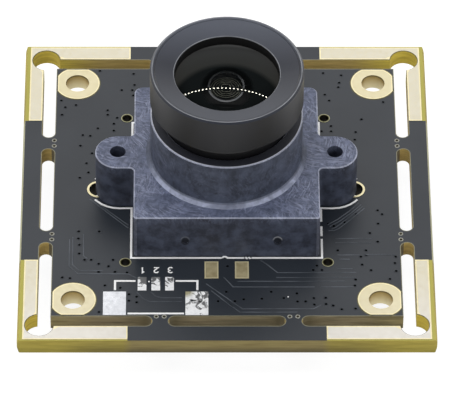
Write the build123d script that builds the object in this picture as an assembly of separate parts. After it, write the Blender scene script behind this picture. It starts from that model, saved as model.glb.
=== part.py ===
from build123d import *
import math
import os

# Camera module: a square circuit board with a moulded lens holder screwed to it and a screw-in lens.
# Millimetres. The origin is the centre of the four corner holes, on the board's underside.
# +Z runs along the optical axis towards the scene, +X is right and +Y is back.

# Circuit board
board_side = 38.0
board_thick = 1.6
board_corner_r = 0.3
score_inset = 0.17
score_depth = 0.55

# Break-away rail: slots and tabs between it and the inner board
rail_width = 1.8
slot_width = 1.2
tab_centre = 6.05
tab_width = 1.5
relief_r = 1.3
relief_shift_x = 0.4
relief_shift_y = 0.5
perforation_r = 0.13
perforation_pitch = 0.72
perforation_shift = 0.05
perforation_sides = 8

# Bare copper areas, gold plated or tinned
land_thick = 0.035
land_arm = 10.0
land_inset_x = 0.5
land_inset_y = 0.13
land_pullback = 0.05
test_pad_pitch = 2.78
test_pad_width = 1.27
test_pad_length = 2.13
test_pad_gap = 0.72

# Plated holes
hole_plating = 0.04
mount_inset = 2.0
mount_hole_r = 1.1
mount_ring_r = 2.1
mount_ring_margin = 0.15
test_hole_gap_x = 0.77
test_hole_gap_y = 0.82
test_hole_r = 0.42
test_ring_width = 0.13
screw_slot_length = 1.85
screw_slot_ring = 0.2

# Footprint of a three-pin connector that isn't fitted
spare_ring_gap = 0.65
spare_pitch = 1.25
spare_pins = 3
spare_pin_width = 0.8
spare_pin_length = 1.66
spare_pin_inset = 4.0
spare_anchor_offset = 3.74
spare_anchor_width = 2.08
spare_anchor_length = 2.89
spare_anchor_inset = 1.57

# Lens holder
holder_side = 17.0
holder_base_height = 5.0
holder_back_r = 0.8
holder_front_r = 0.3
holder_edge = 0.1
ear_pitch = 20.0
ear_r = 2.08
ear_fillet = 0.45
ear_relief_margin = 0.1
ear_relief_depth = 0.05
pilot_r = 0.73
tube_r = 7.0
tube_foot = 0.42
cavity_side = 14.0
cavity_corner_r = 0.6
cavity_depth = 3.0
web_thick = 0.8
window_r = 3.4
gate_mark_r = 0.3
gate_mark_depth = 0.12
gate_mark_height = 1.95
gate_mark_left = -3.8
gate_mark_right = 4.65

# Screws that hold the holder, from below
screw_r = 0.8
screw_play = 0.05
screw_bite = 3.4
screw_point = 0.5
screw_head_r = 1.5
screw_head_height = 1.0
screw_head_edge = 0.25
recess_width = 0.35
recess_length = 1.7
recess_depth = 0.5

# Lens: screw thread and head
thread_r = 5.9
thread_play = 0.05
focus_travel = 1.8
head_r = 7.0
head_height = 3.85
head_foot_bevel = 0.15
rim_bevel = 0.15
rim_width = 0.25
cone_drop = 0.55
mouth_r = 4.8
mouth_edge = 0.06
mouth_depth = 1.0
ring_play = 0.03
ring_skirt = 0.45

# Lens: glass, spacers and stop, as edge thicknesses from front to rear
glass_play = 0.03
front_glass_r = 5.55
front_glass_edge = 0.55
front_dome_rise = 1.1
front_hollow_r = 1.75
front_hollow_rise = 1.0
lip_thick = 0.25
lip_r = 2.9
stack_bore_r = 3.8
second_glass_edge = 1.3
second_glass_rise = 0.2
front_spacer_length = 0.8
spacer_bore_r = 2.5
third_glass_edge = 1.2
stop_thick = 0.1
stop_hole_r = 0.9
middle_spacer_length = 0.5
doublet_front_edge = 1.0
doublet_rear_edge = 1.3
cement_gap = 0.02
rear_spacer_length = 0.6
rear_ring_length = 0.7
rear_ring_bore_r = 2.6
rear_recess = 0.2
glass_aperture_r = 2.4
glass_bulge = 0.45

# Infrared filter, glued under the holder's web
filter_side = 8.0
filter_thick = 0.4
filter_play = 0.1
filter_glue = 0.05

# Image sensor
sensor_side = 8.6
sensor_height = 1.3
sensor_well_side = 6.8
sensor_well_depth = 0.8
sensor_rebate = 0.3
die_width = 5.6
die_length = 4.3
die_thick = 0.3
cover_thick = 0.4
cover_side = 7.6
cover_play = 0.05

# Chips on the underside
chip_standoff = 0.1
chip_edge = 0.12
processor_side = 7.0
processor_height = 1.4
processor_surge_gap = 1.1
processor_leads_per_side = 12
processor_lead_pitch = 0.5
processor_lead_width = 0.22
flash_width = 3.9
flash_length = 4.9
flash_height = 1.4
flash_row_gap = 0.45
flash_screw_gap = 1.95
flash_lead_pitch = 1.27
flash_lead_width = 0.42
small_chip_width = 1.6
small_chip_length = 2.9
small_chip_height = 1.0
small_chip_lead_pitch = 0.95
small_chip_lead_width = 0.4
regulator_test_hole_gap = 1.42
surge_socket_gap = 0.38
lead_reach = 1.0
small_lead_reach = 0.6
lead_thick = 0.15
lead_knee = 0.35
lead_ankle = 0.55

# Crystal
crystal_row_gap = 1.5
crystal_screw_gap = 2.85
crystal_width = 3.2
crystal_length = 2.5
crystal_base_height = 0.5
crystal_lid_height = 0.3
crystal_lid_margin = 0.15

# Small two-ended parts, each with a plated end at both ends
capacitor_length = 1.6
capacitor_width = 0.8
capacitor_height = 0.8
capacitor_end = 0.3
bulk_capacitor_length = 2.0
bulk_capacitor_width = 1.25
bulk_capacitor_height = 1.1
bulk_capacitor_end = 0.4
sensor_capacitor_length = 1.0
sensor_capacitor_width = 0.5
sensor_capacitor_height = 0.5
sensor_capacitor_end = 0.2
resistor_length = 1.6
resistor_width = 0.8
resistor_height = 0.45
resistor_end = 0.3
bead_length = 1.6
bead_width = 0.8
bead_height = 0.8
bead_end = 0.3
passive_clearance = 1.1
side_capacitors = 5
side_capacitor_pitch = 1.7
sensor_capacitors = 4
sensor_capacitor_pitch = 1.5
resistor_count = 8
resistor_pitch = 1.6
resistor_gap = 0.35
bulk_capacitor_gap = 1.775
bulk_capacitor_shift = 0.5
regulator_row_gap = 1.6
regulator_capacitor_gap = 0.9
bead_gap = 1.55

# Four-pin socket for the cable, on the underside at the back
socket_pins = 4
socket_pitch = 1.25
socket_side_room = 3.0
socket_height = 3.4
socket_depth = 4.2
socket_inset = 0.8
socket_wall = 0.6
socket_floor = 0.7
socket_back_wall = 0.9
socket_key_width = 1.0
socket_key_depth = 2.0
pin_side = 0.32
pin_height = 1.6
pin_reach = 2.2
pin_foot = 0.9
anchor_thick = 0.2
anchor_width = 1.8
anchor_foot = 1.1
anchor_rise = 2.2

# Places worked out from the values above
core_side = board_side - 2 * (rail_width + slot_width)
mount_pitch = core_side - 2 * mount_inset
land_end = board_side / 2 - land_arm
test_hole_x = holder_side / 2 + test_hole_gap_x
test_hole_y = holder_side / 2 + test_hole_gap_y
test_pad_y = -holder_side / 2 - test_pad_gap - test_pad_length / 2
spare_x = -mount_pitch / 2 + mount_ring_r + spare_ring_gap + spare_anchor_width / 2 + spare_anchor_offset
spare_pin_y = spare_pin_inset - core_side / 2
spare_anchor_y = spare_anchor_inset - core_side / 2

# Underside, from the socket at the back to the resistors at the front
socket_back_y = core_side / 2 - socket_inset
pin_foot_y = socket_back_y - socket_depth - pin_side - pin_foot
surge_half = small_chip_width / 2 + small_lead_reach
surge_y = pin_foot_y - surge_socket_gap - surge_half
processor_half = processor_side / 2 + lead_reach
processor_y = surge_y - surge_half - processor_surge_gap - processor_half
bulk_capacitor_y = surge_y + bulk_capacitor_shift
regulator_y = regulator_test_hole_gap + small_chip_length / 2 + capacitor_length / 2 - capacitor_width / 2
regulator_y += test_ring_width + test_hole_r - test_hole_y
resistor_y = regulator_y - small_chip_length / 2 - resistor_gap - resistor_length / 2 - resistor_width / 2

# Underside, from the processor outwards to both sides
row_edge = processor_half + passive_clearance + capacitor_length
flash_x = row_edge + flash_row_gap + lead_reach + flash_width / 2
flash_y = screw_head_r + flash_screw_gap + flash_length / 2
crystal_x = -row_edge - crystal_row_gap - crystal_width / 2
crystal_y = screw_head_r + crystal_screw_gap + crystal_length / 2
regulator_capacitor_x = row_edge + regulator_row_gap + capacitor_width / 2
regulator_x = regulator_capacitor_x + regulator_capacitor_gap + small_lead_reach + small_chip_width / 2
bead_x = small_chip_length / 2 + bead_gap + bead_width / 2
bulk_capacitor_x = bead_x + bead_width / 2 + bulk_capacitor_gap + bulk_capacitor_width / 2

# Heights worked out from the values above
board_top = board_thick
web_top = board_top + cavity_depth + web_thick
lens_rear = web_top + focus_travel
rear_ring_low = lens_rear + rear_recess
rear_spacer_low = rear_ring_low + rear_ring_length
doublet_rear_low = rear_spacer_low + rear_spacer_length
doublet_front_low = doublet_rear_low + doublet_rear_edge
middle_spacer_low = doublet_front_low + doublet_front_edge
stop_low = middle_spacer_low + middle_spacer_length
third_glass_low = stop_low + stop_thick
front_spacer_low = third_glass_low + third_glass_edge
second_glass_low = front_spacer_low + front_spacer_length
lip_low = second_glass_low + second_glass_edge
front_glass_low = lip_low + lip_thick
clamp_height = front_glass_low + front_glass_edge
mouth_height = clamp_height + mouth_depth
rim_height = mouth_height + cone_drop
head_low = rim_height - head_height
tube_top = head_low - focus_travel

# Each small part's length, width, height and plated end
capacitor_size = (capacitor_length, capacitor_width, capacitor_height, capacitor_end)
bulk_capacitor_size = (bulk_capacitor_length, bulk_capacitor_width, bulk_capacitor_height, bulk_capacitor_end)
sensor_capacitor_size = (
    sensor_capacitor_length, sensor_capacitor_width, sensor_capacitor_height, sensor_capacitor_end,
)
resistor_size = (resistor_length, resistor_width, resistor_height, resistor_end)
bead_size = (bead_length, bead_width, bead_height, bead_end)

corners = [(-1, -1), (1, -1), (1, 1), (-1, 1)]


def save(node, *shapes):
    solids = [solid for shape in shapes for solid in shape.solids()]
    export_step(Compound(children=solids), os.path.join("parts", node + ".step"))


def field(low_x, low_y, high_x, high_y):
    # A flat rectangle between two opposite corners.
    middle = Pos((low_x + high_x) / 2, (low_y + high_y) / 2)
    return middle * Rectangle(high_x - low_x, high_y - low_y)


def block(low_x, low_y, low_z, high_x, high_y, high_z):
    # A box between two opposite corners.
    return Pos(0, 0, low_z) * extrude(field(low_x, low_y, high_x, high_y), high_z - low_z)


def turned(points):
    # A solid of revolution about the optical axis, from its (radius, height) outline.
    outline = Plane.XZ * make_face(Polyline(*points, close=True))
    return revolve(outline, Axis.Z)


def under(shape):
    # What is modelled as standing on a face at height 0 hangs from the board's underside.
    return mirror(shape, about=Plane.XY)


# Circuit board


def frame_slots():
    # Slots between the inner board and the rail: one in the middle of each side,
    # and one from each tab into the corner, where a larger round relief ends it.
    line = (core_side + slot_width) / 2
    middle_length = 2 * tab_centre - tab_width
    corner_start = tab_centre + (tab_width + slot_width) / 2
    slots = []
    for quarter in range(4):
        turn = Rot(0, 0, 90 * quarter)
        slots.append(turn * Pos(line, 0) * SlotOverall(middle_length, slot_width, rotation=90))
        for end in (-1, 1):
            centre = end * (corner_start + line) / 2
            corner_slot = SlotCenterToCenter(line - corner_start, slot_width, rotation=90)
            slots.append(turn * Pos(line, centre) * corner_slot)
    for side_x, side_y in corners:
        place = Pos(side_x * (line + relief_shift_x), side_y * (line + relief_shift_y))
        slots.append(place * Circle(relief_r))
    return slots


def tab_perforations():
    # Two small drilled holes in each tab, drawn with few sides, along the line where the rail breaks off.
    line = core_side / 2 + perforation_shift
    drill = RegularPolygon(perforation_r, perforation_sides)
    holes = []
    for quarter in range(4):
        for tab in (-tab_centre, tab_centre):
            for step in (-perforation_pitch / 2, perforation_pitch / 2):
                holes.append(Rot(0, 0, 90 * quarter) * Pos(line, tab + step) * drill)
    return holes


def screw_slot(width_r):
    # The slotted hole at one ear of the holder, which starts at the screw and runs outwards.
    return Pos(ear_pitch / 2 + screw_slot_length / 2, 0) * SlotCenterToCenter(screw_slot_length, 2 * width_r)


def mount_places():
    return [Pos(x * mount_pitch / 2, y * mount_pitch / 2) for x, y in corners]


def test_hole_places():
    return [Pos(x * test_hole_x, y * test_hole_y) for x, y in corners]


def scored_blank():
    # The left and right edges were scored and snapped, so both faces are narrower than the middle.
    half = board_side / 2
    face_half = half - score_inset
    right = [(face_half, 0), (half, score_depth), (half, board_thick - score_depth), (face_half, board_thick)]
    left = [(-x, z) for x, z in reversed(right)]
    outline = Plane.XZ * make_face(Polyline(*right, *left, close=True))
    return extrude(outline, board_side / 2, both=True)


def circuit_board():
    outline = RectangleRounded(board_side, board_side, board_corner_r)
    cuts = frame_slots() + tab_perforations()
    cuts += [place * Circle(mount_hole_r + hole_plating) for place in mount_places()]
    cuts += [place * Circle(test_hole_r + test_ring_width) for place in test_hole_places()]
    slot = screw_slot(screw_r + screw_play + screw_slot_ring)
    cuts += [slot, Rot(0, 0, 180) * slot]
    return extrude(outline - cuts, board_thick) & scored_blank()


def corner_lands():
    # L-shaped lands on the rail, on both faces, cut back round the corner relief.
    inner = core_side / 2 + slot_width + land_pullback
    outer_x = board_side / 2 - land_inset_x
    outer_y = board_side / 2 - land_inset_y
    line = (core_side + slot_width) / 2
    relief = Pos(line + relief_shift_x, line + relief_shift_y) * Circle(relief_r + land_pullback)
    land = field(land_end, inner, outer_x, outer_y) + field(inner, land_end, outer_x, outer_y) - relief
    top = Pos(0, 0, board_top) * extrude(land, land_thick)
    low = Pos(0, 0, -land_thick) * extrude(land, land_thick)
    right = [top, mirror(top, about=Plane.XZ), low, mirror(low, about=Plane.XZ)]
    return right + [mirror(land_solid, about=Plane.YZ) for land_solid in right]


def plated_bush(ring):
    # Plating that lines a hole, from face to face and a little proud of both.
    return Pos(0, 0, -land_thick) * extrude(ring, board_thick + 2 * land_thick)


def plated_hole(hole, wall, ring):
    # The plating runs through the hole and out into a flat ring on each face.
    flange = extrude(ring - wall, land_thick)
    return plated_bush(wall - hole) + Pos(0, 0, board_top) * flange + Pos(0, 0, -land_thick) * flange


def mounting_rings():
    # Each ring stops short of the inner board's two edges beside it.
    room = core_side - 2 * mount_ring_margin
    rings = []
    for place in mount_places():
        hole = place * Circle(mount_hole_r)
        wall = place * Circle(mount_hole_r + hole_plating)
        ring = (place * Circle(mount_ring_r)) & Rectangle(room, room)
        rings.append(plated_hole(hole, wall, ring))
    return rings


def test_hole_rings():
    # Where the ring is narrow, it and the plating are one straight bush.
    ring = Circle(test_hole_r + test_ring_width) - Circle(test_hole_r)
    return [place * plated_bush(ring) for place in test_hole_places()]


def screw_slot_rings():
    hole_r = screw_r + screw_play
    bush = plated_bush(screw_slot(hole_r + screw_slot_ring) - screw_slot(hole_r))
    return [bush, Rot(0, 0, 180) * bush]


def pad(x, y, width, length):
    return Pos(x, y, board_top) * extrude(Rectangle(width, length), land_thick)


def test_pads():
    return [pad(side * test_pad_pitch / 2, test_pad_y, test_pad_width, test_pad_length) for side in (-1, 1)]


def spare_pin_pads():
    first = spare_x - spare_pitch * (spare_pins - 1) / 2
    return [
        pad(first + spare_pitch * count, spare_pin_y, spare_pin_width, spare_pin_length)
        for count in range(spare_pins)
    ]


def spare_anchor_pads():
    return [
        pad(spare_x + side * spare_anchor_offset, spare_anchor_y, spare_anchor_width, spare_anchor_length)
        for side in (-1, 1)
    ]


# Lens holder


def holder_plan():
    # Square base with an ear on each side, rounded where the ear grows out of the wall.
    plan = Rectangle(holder_side, holder_side) + SlotCenterToCenter(ear_pitch, 2 * ear_r)
    half = holder_side / 2
    roots = [point for point in plan.vertices() if abs(point.Y) < half - ear_fillet]
    roots = [point for point in roots if abs(abs(point.X) - half) < ear_fillet]
    plan = fillet(roots, ear_fillet)
    for edge_y, radius in ((half, holder_back_r), (-half, holder_front_r)):
        ends = [point for point in plan.vertices() if abs(point.Y - edge_y) < radius / 2]
        ends = [point for point in ends if abs(abs(point.X) - half) < radius / 2]
        plan = fillet(ends, radius)
    return plan


def holder_tube():
    # The round tube, with a small bevelled foot where it stands on the base.
    base_top = board_top + holder_base_height
    return turned([
        (0, web_top), (tube_r + tube_foot, web_top), (tube_r + tube_foot, base_top),
        (tube_r, base_top + tube_foot), (tube_r, tube_top - holder_edge), (tube_r - holder_edge, tube_top),
        (0, tube_top),
    ])


def lens_holder():
    base = extrude(holder_plan(), holder_base_height)
    top_edges = base.edges().group_by(Axis.Z)[-1]
    base = chamfer(top_edges, holder_edge)
    holder = Pos(0, 0, board_top) * base + holder_tube()
    # The threaded bore, drawn as a plain cylinder, and its bevelled mouth
    bore_r = thread_r + thread_play
    holder -= turned([
        (0, tube_top), (bore_r + holder_edge, tube_top), (bore_r, tube_top - holder_edge), (bore_r, web_top),
        (0, web_top),
    ])
    # The square room over the sensor, the filter's seat and the window between it and the bore
    room = extrude(RectangleRounded(cavity_side, cavity_side, cavity_corner_r), cavity_depth)
    seat_side = filter_side + filter_play
    seat = extrude(Rectangle(seat_side, seat_side), filter_thick + filter_glue)
    holder -= Pos(0, 0, board_top) * room
    holder -= Pos(0, 0, board_top + cavity_depth) * seat
    holder -= Pos(0, 0, board_top) * extrude(Circle(window_r), cavity_depth + web_thick)
    # Each ear has a hole that the screw cuts its thread in, and clears the board's plated slot below
    relief_slot_r = screw_r + screw_play + screw_slot_ring + ear_relief_margin
    ring_room = extrude(screw_slot(relief_slot_r), ear_relief_depth)
    for turn in (Rot(0, 0, 0), Rot(0, 0, 180)):
        holder -= turn * Pos(0, 0, board_top) * ring_room
        holder -= turn * Pos(ear_pitch / 2, 0, board_top) * extrude(Circle(pilot_r), holder_base_height)
    # Two small moulding marks on the front wall
    for mark_x in (gate_mark_left, gate_mark_right):
        mark = Plane.XZ.offset(holder_side / 2 - gate_mark_depth) * Pos(mark_x, board_top + gate_mark_height)
        holder -= mark * extrude(Circle(gate_mark_r), gate_mark_depth)
    return holder


def holder_screws():
    # Thread-forming screws with a pan head and a cross recess, under the board.
    head_top = -land_thick
    head_low = head_top - screw_head_height
    tip = board_top + screw_bite
    screw = turned([
        (0, tip), (screw_r - screw_point / 2, tip), (screw_r, tip - screw_point), (screw_r, head_top),
        (screw_head_r, head_top), (screw_head_r, head_low + screw_head_edge),
        (screw_head_r - screw_head_edge, head_low), (0, head_low),
    ])
    cross = Rectangle(recess_length, recess_width) + Rectangle(recess_width, recess_length)
    screw -= Pos(0, 0, head_low) * extrude(cross, recess_depth)
    return [Pos(side * ear_pitch / 2, 0) * screw for side in (-1, 1)]


def filter_glass():
    glass = extrude(Rectangle(filter_side, filter_side), filter_thick)
    return Pos(0, 0, board_top + cavity_depth + filter_glue) * glass


# Lens


def lens_barrel():
    bore_r = thread_r - head_foot_bevel
    ring_r = head_r - rim_bevel - rim_width
    ring_floor = clamp_height - ring_skirt
    rim_r = head_r - rim_bevel
    slope = cone_drop / (rim_r - mouth_r)
    return turned([
        (stack_bore_r, lens_rear), (bore_r, lens_rear), (thread_r, lens_rear + head_foot_bevel),
        (thread_r, head_low), (head_r - head_foot_bevel, head_low), (head_r, head_low + head_foot_bevel),
        (head_r, rim_height - rim_bevel), (rim_r, rim_height), (ring_r, rim_height - slope * rim_width),
        (ring_r, ring_floor), (front_glass_r + glass_play, ring_floor),
        (front_glass_r + glass_play, front_glass_low), (lip_r, front_glass_low), (lip_r, lip_low),
        (stack_bore_r, lip_low),
    ])


def front_retaining_ring():
    # Its dished face falls towards the glass, and its skirt screws down round the glass's edge.
    outer_r = head_r - rim_bevel - rim_width - ring_play
    slope = cone_drop / (head_r - rim_bevel - mouth_r)
    outer_height = mouth_height + slope * (outer_r - mouth_r)
    skirt_r = front_glass_r + glass_play
    return turned([
        (mouth_r, clamp_height), (skirt_r, clamp_height), (skirt_r, clamp_height - ring_skirt),
        (outer_r, clamp_height - ring_skirt), (outer_r, outer_height),
        (mouth_r + mouth_edge, mouth_height + slope * mouth_edge), (mouth_r, mouth_height - mouth_edge),
    ])


def dome(rim_r, rim_z, rise):
    # The arc from the axis out to a round surface's rim, which it leaves level on the axis.
    sphere_r = (rim_r ** 2 + rise ** 2) / (2 * abs(rise))
    half_turn = math.asin(rim_r / sphere_r) / 2
    fall = sphere_r * (1 - math.cos(half_turn))
    middle = (sphere_r * math.sin(half_turn), rim_z + rise - math.copysign(fall, rise))
    return ThreePointArc((0, rim_z + rise), middle, (rim_r, rim_z))


def glass(edge_r, low_z, edge, upper_r, upper_rise, lower_r, lower_rise):
    # One lens: a flat-rimmed disc, round or flat on each side. A rise is upwards on either side.
    high_z = low_z + edge
    upper = dome(upper_r, high_z, upper_rise) if upper_rise else Line((0, high_z), (upper_r, high_z))
    lower = dome(lower_r, low_z, lower_rise) if lower_rise else Line((0, low_z), (lower_r, low_z))
    edges = Polyline((upper_r, high_z), (edge_r, high_z), (edge_r, low_z), (lower_r, low_z))
    axis = Line((0, low_z + lower_rise), (0, high_z + upper_rise))
    return revolve(Plane.XZ * make_face(upper + edges + lower + axis), Axis.Z)


def front_element():
    front = (mouth_r, front_dome_rise)
    hollow = (front_hollow_r, front_hollow_rise)
    return glass(front_glass_r, front_glass_low, front_glass_edge, *front, *hollow)


def stack_disc(low_z, length, hole_r):
    # A flat ring that fits the barrel's rear bore.
    disc = Circle(stack_bore_r - glass_play) - Circle(hole_r)
    return Pos(0, 0, low_z) * extrude(disc, length)


def stack_glass(low_z, edge, upper_rise, lower_rise):
    return glass(
        stack_bore_r - glass_play, low_z, edge, glass_aperture_r, upper_rise, glass_aperture_r, lower_rise
    )


def doublet_front():
    # Its rear bulge sits in the hollow of the glass cemented to it.
    return stack_glass(doublet_front_low + cement_gap, doublet_front_edge - cement_gap, 0, -glass_bulge)


# Image sensor


def sensor_package():
    body = block(-sensor_side / 2, -sensor_side / 2, 0, sensor_side / 2, sensor_side / 2, sensor_height)
    well = sensor_well_side / 2
    body -= block(-well, -well, sensor_height - sensor_well_depth, well, well, sensor_height)
    rebate = cover_side / 2 + cover_play
    body -= block(-rebate, -rebate, sensor_height - sensor_rebate, rebate, rebate, sensor_height)
    return Pos(0, 0, board_top) * body


def sensor_die():
    floor = board_top + sensor_height - sensor_well_depth
    return Pos(0, 0, floor) * extrude(Rectangle(die_width, die_length), die_thick)


def sensor_glass():
    seat = board_top + sensor_height - sensor_rebate
    return Pos(0, 0, seat) * extrude(Rectangle(cover_side, cover_side), cover_thick)


# Chips


def chip_body(width, length, height):
    body = Pos(0, 0, chip_standoff) * extrude(Rectangle(width, length), height)
    return chamfer(body.faces().sort_by(Axis.Z)[-1].edges(), chip_edge)


def gull_lead(root_x, root_z, reach, width):
    # One bent lead, out of the body's side, down, and flat on the board.
    half = lead_thick / 2
    knee = root_x + lead_knee * reach
    ankle = root_x + lead_ankle * reach
    toe = root_x + reach
    outline = Plane.XZ * make_face(Polyline(
        (root_x, root_z + half), (knee, root_z + half), (ankle, lead_thick), (toe, lead_thick), (toe, 0),
        (ankle - lead_thick, 0), (knee - lead_thick, root_z - half), (root_x, root_z - half), close=True,
    ))
    return extrude(outline, width / 2, both=True)


def lead_row(root_x, root_z, reach, width, pitch, slots):
    # Leads along one side. A slot is a place along the row, counted in pitches from its middle.
    lead = gull_lead(root_x, root_z, reach, width)
    return [Pos(0, pitch * slot) * lead for slot in slots]


def even_slots(count):
    return [step - (count - 1) / 2 for step in range(count)]


def processor_leads():
    root_z = chip_standoff + processor_height / 2
    slots = even_slots(processor_leads_per_side)
    row = lead_row(processor_side / 2, root_z, lead_reach, processor_lead_width, processor_lead_pitch, slots)
    place = Pos(0, processor_y)
    return [place * Rot(0, 0, 90 * quarter) * lead for quarter in range(4) for lead in row]


def flash_leads():
    root_z = chip_standoff + flash_height / 2
    row = lead_row(flash_width / 2, root_z, lead_reach, flash_lead_width, flash_lead_pitch, even_slots(4))
    place = Pos(flash_x, flash_y)
    return [place * Rot(0, 0, 180 * half) * lead for half in range(2) for lead in row]


def small_chip_leads(far_slots):
    # Three leads on one side, and those in far_slots on the other.
    root_z = chip_standoff + small_chip_height / 2
    size = (small_chip_width / 2, root_z, small_lead_reach, small_chip_lead_width, small_chip_lead_pitch)
    near = lead_row(*size, (-1, 0, 1))
    far = [Rot(0, 0, 180) * lead for lead in lead_row(*size, far_slots)]
    return near + far


def regulator_places():
    return [Pos(-regulator_x, regulator_y), Pos(regulator_x, regulator_y) * Rot(0, 0, 180)]


def surge_place():
    return Pos(0, surge_y) * Rot(0, 0, 90)


def crystal_base():
    return Pos(crystal_x, crystal_y) * extrude(Rectangle(crystal_width, crystal_length), crystal_base_height)


def crystal_lid():
    width = crystal_width - 2 * crystal_lid_margin
    length = crystal_length - 2 * crystal_lid_margin
    lid = extrude(RectangleRounded(width, length, 2 * crystal_lid_margin), crystal_lid_height)
    return Pos(crystal_x, crystal_y, crystal_base_height) * lid


# Small two-ended parts, each a body between two plated ends


def two_ended(place, size):
    length, width, height, end = size
    inner = length / 2 - end
    body = place * block(-inner, -width / 2, 0, inner, width / 2, height)
    ends = [
        place * block(-length / 2, -width / 2, 0, -inner, width / 2, height),
        place * block(inner, -width / 2, 0, length / 2, width / 2, height),
    ]
    return body, ends


def side_capacitor_places():
    # A row down each side of the processor.
    row_x = row_edge - capacitor_length / 2
    steps = [side_capacitor_pitch * slot for slot in even_slots(side_capacitors)]
    return [Pos(side * row_x, processor_y + step) for side in (-1, 1) for step in steps]


def regulator_capacitor_places():
    # One capacitor before and one behind each regulator, on the side nearer the middle.
    step = (small_chip_length - capacitor_width) / 2
    return [
        Pos(side * regulator_capacitor_x, regulator_y + end * step) * Rot(0, 0, 90)
        for side in (-1, 1)
        for end in (-1, 1)
    ]


def bulk_capacitor_places():
    return [Pos(side * bulk_capacitor_x, bulk_capacitor_y) * Rot(0, 0, 90) for side in (-1, 1)]


def sensor_capacitor_places():
    # On the board's top face, in the room under the holder.
    row_x = (sensor_side + cavity_side) / 4
    steps = [sensor_capacitor_pitch * slot for slot in even_slots(sensor_capacitors)]
    return [
        Pos(side * row_x, step, board_top) * Rot(0, 0, 90)
        for side in (-1, 1)
        for step in steps
    ]


def resistor_places():
    return [Pos(resistor_pitch * slot, resistor_y) * Rot(0, 0, 90) for slot in even_slots(resistor_count)]


def bead_places():
    return [Pos(side * bead_x, surge_y) * Rot(0, 0, 90) for side in (-1, 1)]


def save_two_ended(name, below, above):
    # Writes one node of bodies and one of plated ends. Each entry is a place and a size.
    bodies = []
    ends = []
    for place, size in below:
        body, pair = two_ended(place, size)
        bodies.append(under(body))
        ends += [under(end) for end in pair]
    for place, size in above:
        body, pair = two_ended(place, size)
        bodies.append(body)
        ends += pair
    save(name + "_bodies", *bodies)
    save(name + "_ends", *ends)


# Cable socket


def socket_width():
    return socket_pitch * (socket_pins - 1) + 2 * socket_side_room


def socket_pin():
    # One square pin: out of the back wall, down beside it, and flat on the board.
    inner_y = socket_back_y - socket_depth
    outer_y = inner_y - pin_side
    tip_y = inner_y + socket_back_wall + pin_reach
    half = pin_side / 2
    shaft = block(-half, outer_y, pin_height - half, half, tip_y, pin_height + half)
    drop = block(-half, outer_y, 0, half, inner_y, pin_height + half)
    foot = block(-half, outer_y - pin_foot, 0, half, outer_y, pin_side)
    return shaft + drop + foot


def socket_pin_solids():
    return [Pos(socket_pitch * slot, 0) * socket_pin() for slot in even_slots(socket_pins)]


def socket_anchor(side):
    # A bent strip against the housing's side, with a foot soldered to the board.
    wall = socket_width() / 2
    middle = socket_back_y - socket_depth / 2
    front = middle - anchor_width / 2
    back = middle + anchor_width / 2
    strip = block(wall, front, 0, wall + anchor_thick, back, anchor_rise)
    foot = block(wall + anchor_thick, front, 0, wall + anchor_foot, back, anchor_thick)
    anchor = strip + foot
    if side < 0:
        anchor = mirror(anchor, about=Plane.YZ)
    return anchor


def socket_housing():
    half = socket_width() / 2
    inner_y = socket_back_y - socket_depth
    housing = block(-half, inner_y, 0, half, socket_back_y, socket_height)
    throat = half - socket_wall
    housing -= block(
        -throat, inner_y + socket_back_wall, socket_floor, throat, socket_back_y, socket_height - socket_wall
    )
    # Two notches in the outer wall take the plug's keys.
    for side in (-1, 1):
        centre = side * half / 2
        housing -= block(
            centre - socket_key_width / 2, socket_back_y - socket_key_depth, socket_height - socket_wall,
            centre + socket_key_width / 2, socket_back_y, socket_height,
        )
    for pin in socket_pin_solids():
        housing -= pin
    return housing


os.makedirs("parts", exist_ok=True)

save("circuit_board", circuit_board())
save("corner_lands", *corner_lands())
save("mounting_rings", *mounting_rings())
save("test_hole_rings", *test_hole_rings())
save("screw_slot_rings", *screw_slot_rings())
save("test_pads", *test_pads())
save("spare_pin_pads", *spare_pin_pads())
save("spare_anchor_pads", *spare_anchor_pads())

save("lens_holder", lens_holder())
save("holder_screws", *holder_screws())
save("filter_glass", filter_glass())
save("sensor_package", sensor_package())
save("sensor_die", sensor_die())
save("sensor_glass", sensor_glass())

save("lens_barrel", lens_barrel())
save("front_retaining_ring", front_retaining_ring())
save("front_element", front_element())
save("second_element", stack_glass(second_glass_low, second_glass_edge, second_glass_rise, 0))
save("front_spacer", stack_disc(front_spacer_low, front_spacer_length, spacer_bore_r))
save("third_element", stack_glass(third_glass_low, third_glass_edge, glass_bulge, 0))
save("aperture_stop", stack_disc(stop_low, stop_thick, stop_hole_r))
save("middle_spacer", stack_disc(middle_spacer_low, middle_spacer_length, spacer_bore_r))
save("doublet_front", doublet_front())
save("doublet_rear", stack_glass(doublet_rear_low, doublet_rear_edge, -glass_bulge, 0))
save("rear_spacer", stack_disc(rear_spacer_low, rear_spacer_length, spacer_bore_r))
save("rear_retaining_ring", stack_disc(rear_ring_low, rear_ring_length, rear_ring_bore_r))

save("processor", under(Pos(0, processor_y) * chip_body(processor_side, processor_side, processor_height)))
save("processor_leads", *[under(lead) for lead in processor_leads()])
save("flash_memory", under(Pos(flash_x, flash_y) * chip_body(flash_width, flash_length, flash_height)))
save("flash_leads", *[under(lead) for lead in flash_leads()])
small_chip = chip_body(small_chip_width, small_chip_length, small_chip_height)
save("regulators", *[under(place * small_chip) for place in regulator_places()])
regulator_leads = [place * lead for place in regulator_places() for lead in small_chip_leads((-1, 1))]
save("regulator_leads", *[under(lead) for lead in regulator_leads])
save("surge_protector", under(surge_place() * small_chip))
surge_leads = [surge_place() * lead for lead in small_chip_leads((-1, 0, 1))]
save("surge_protector_leads", *[under(lead) for lead in surge_leads])
save("crystal_base", under(crystal_base()))
save("crystal_lid", under(crystal_lid()))

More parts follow.
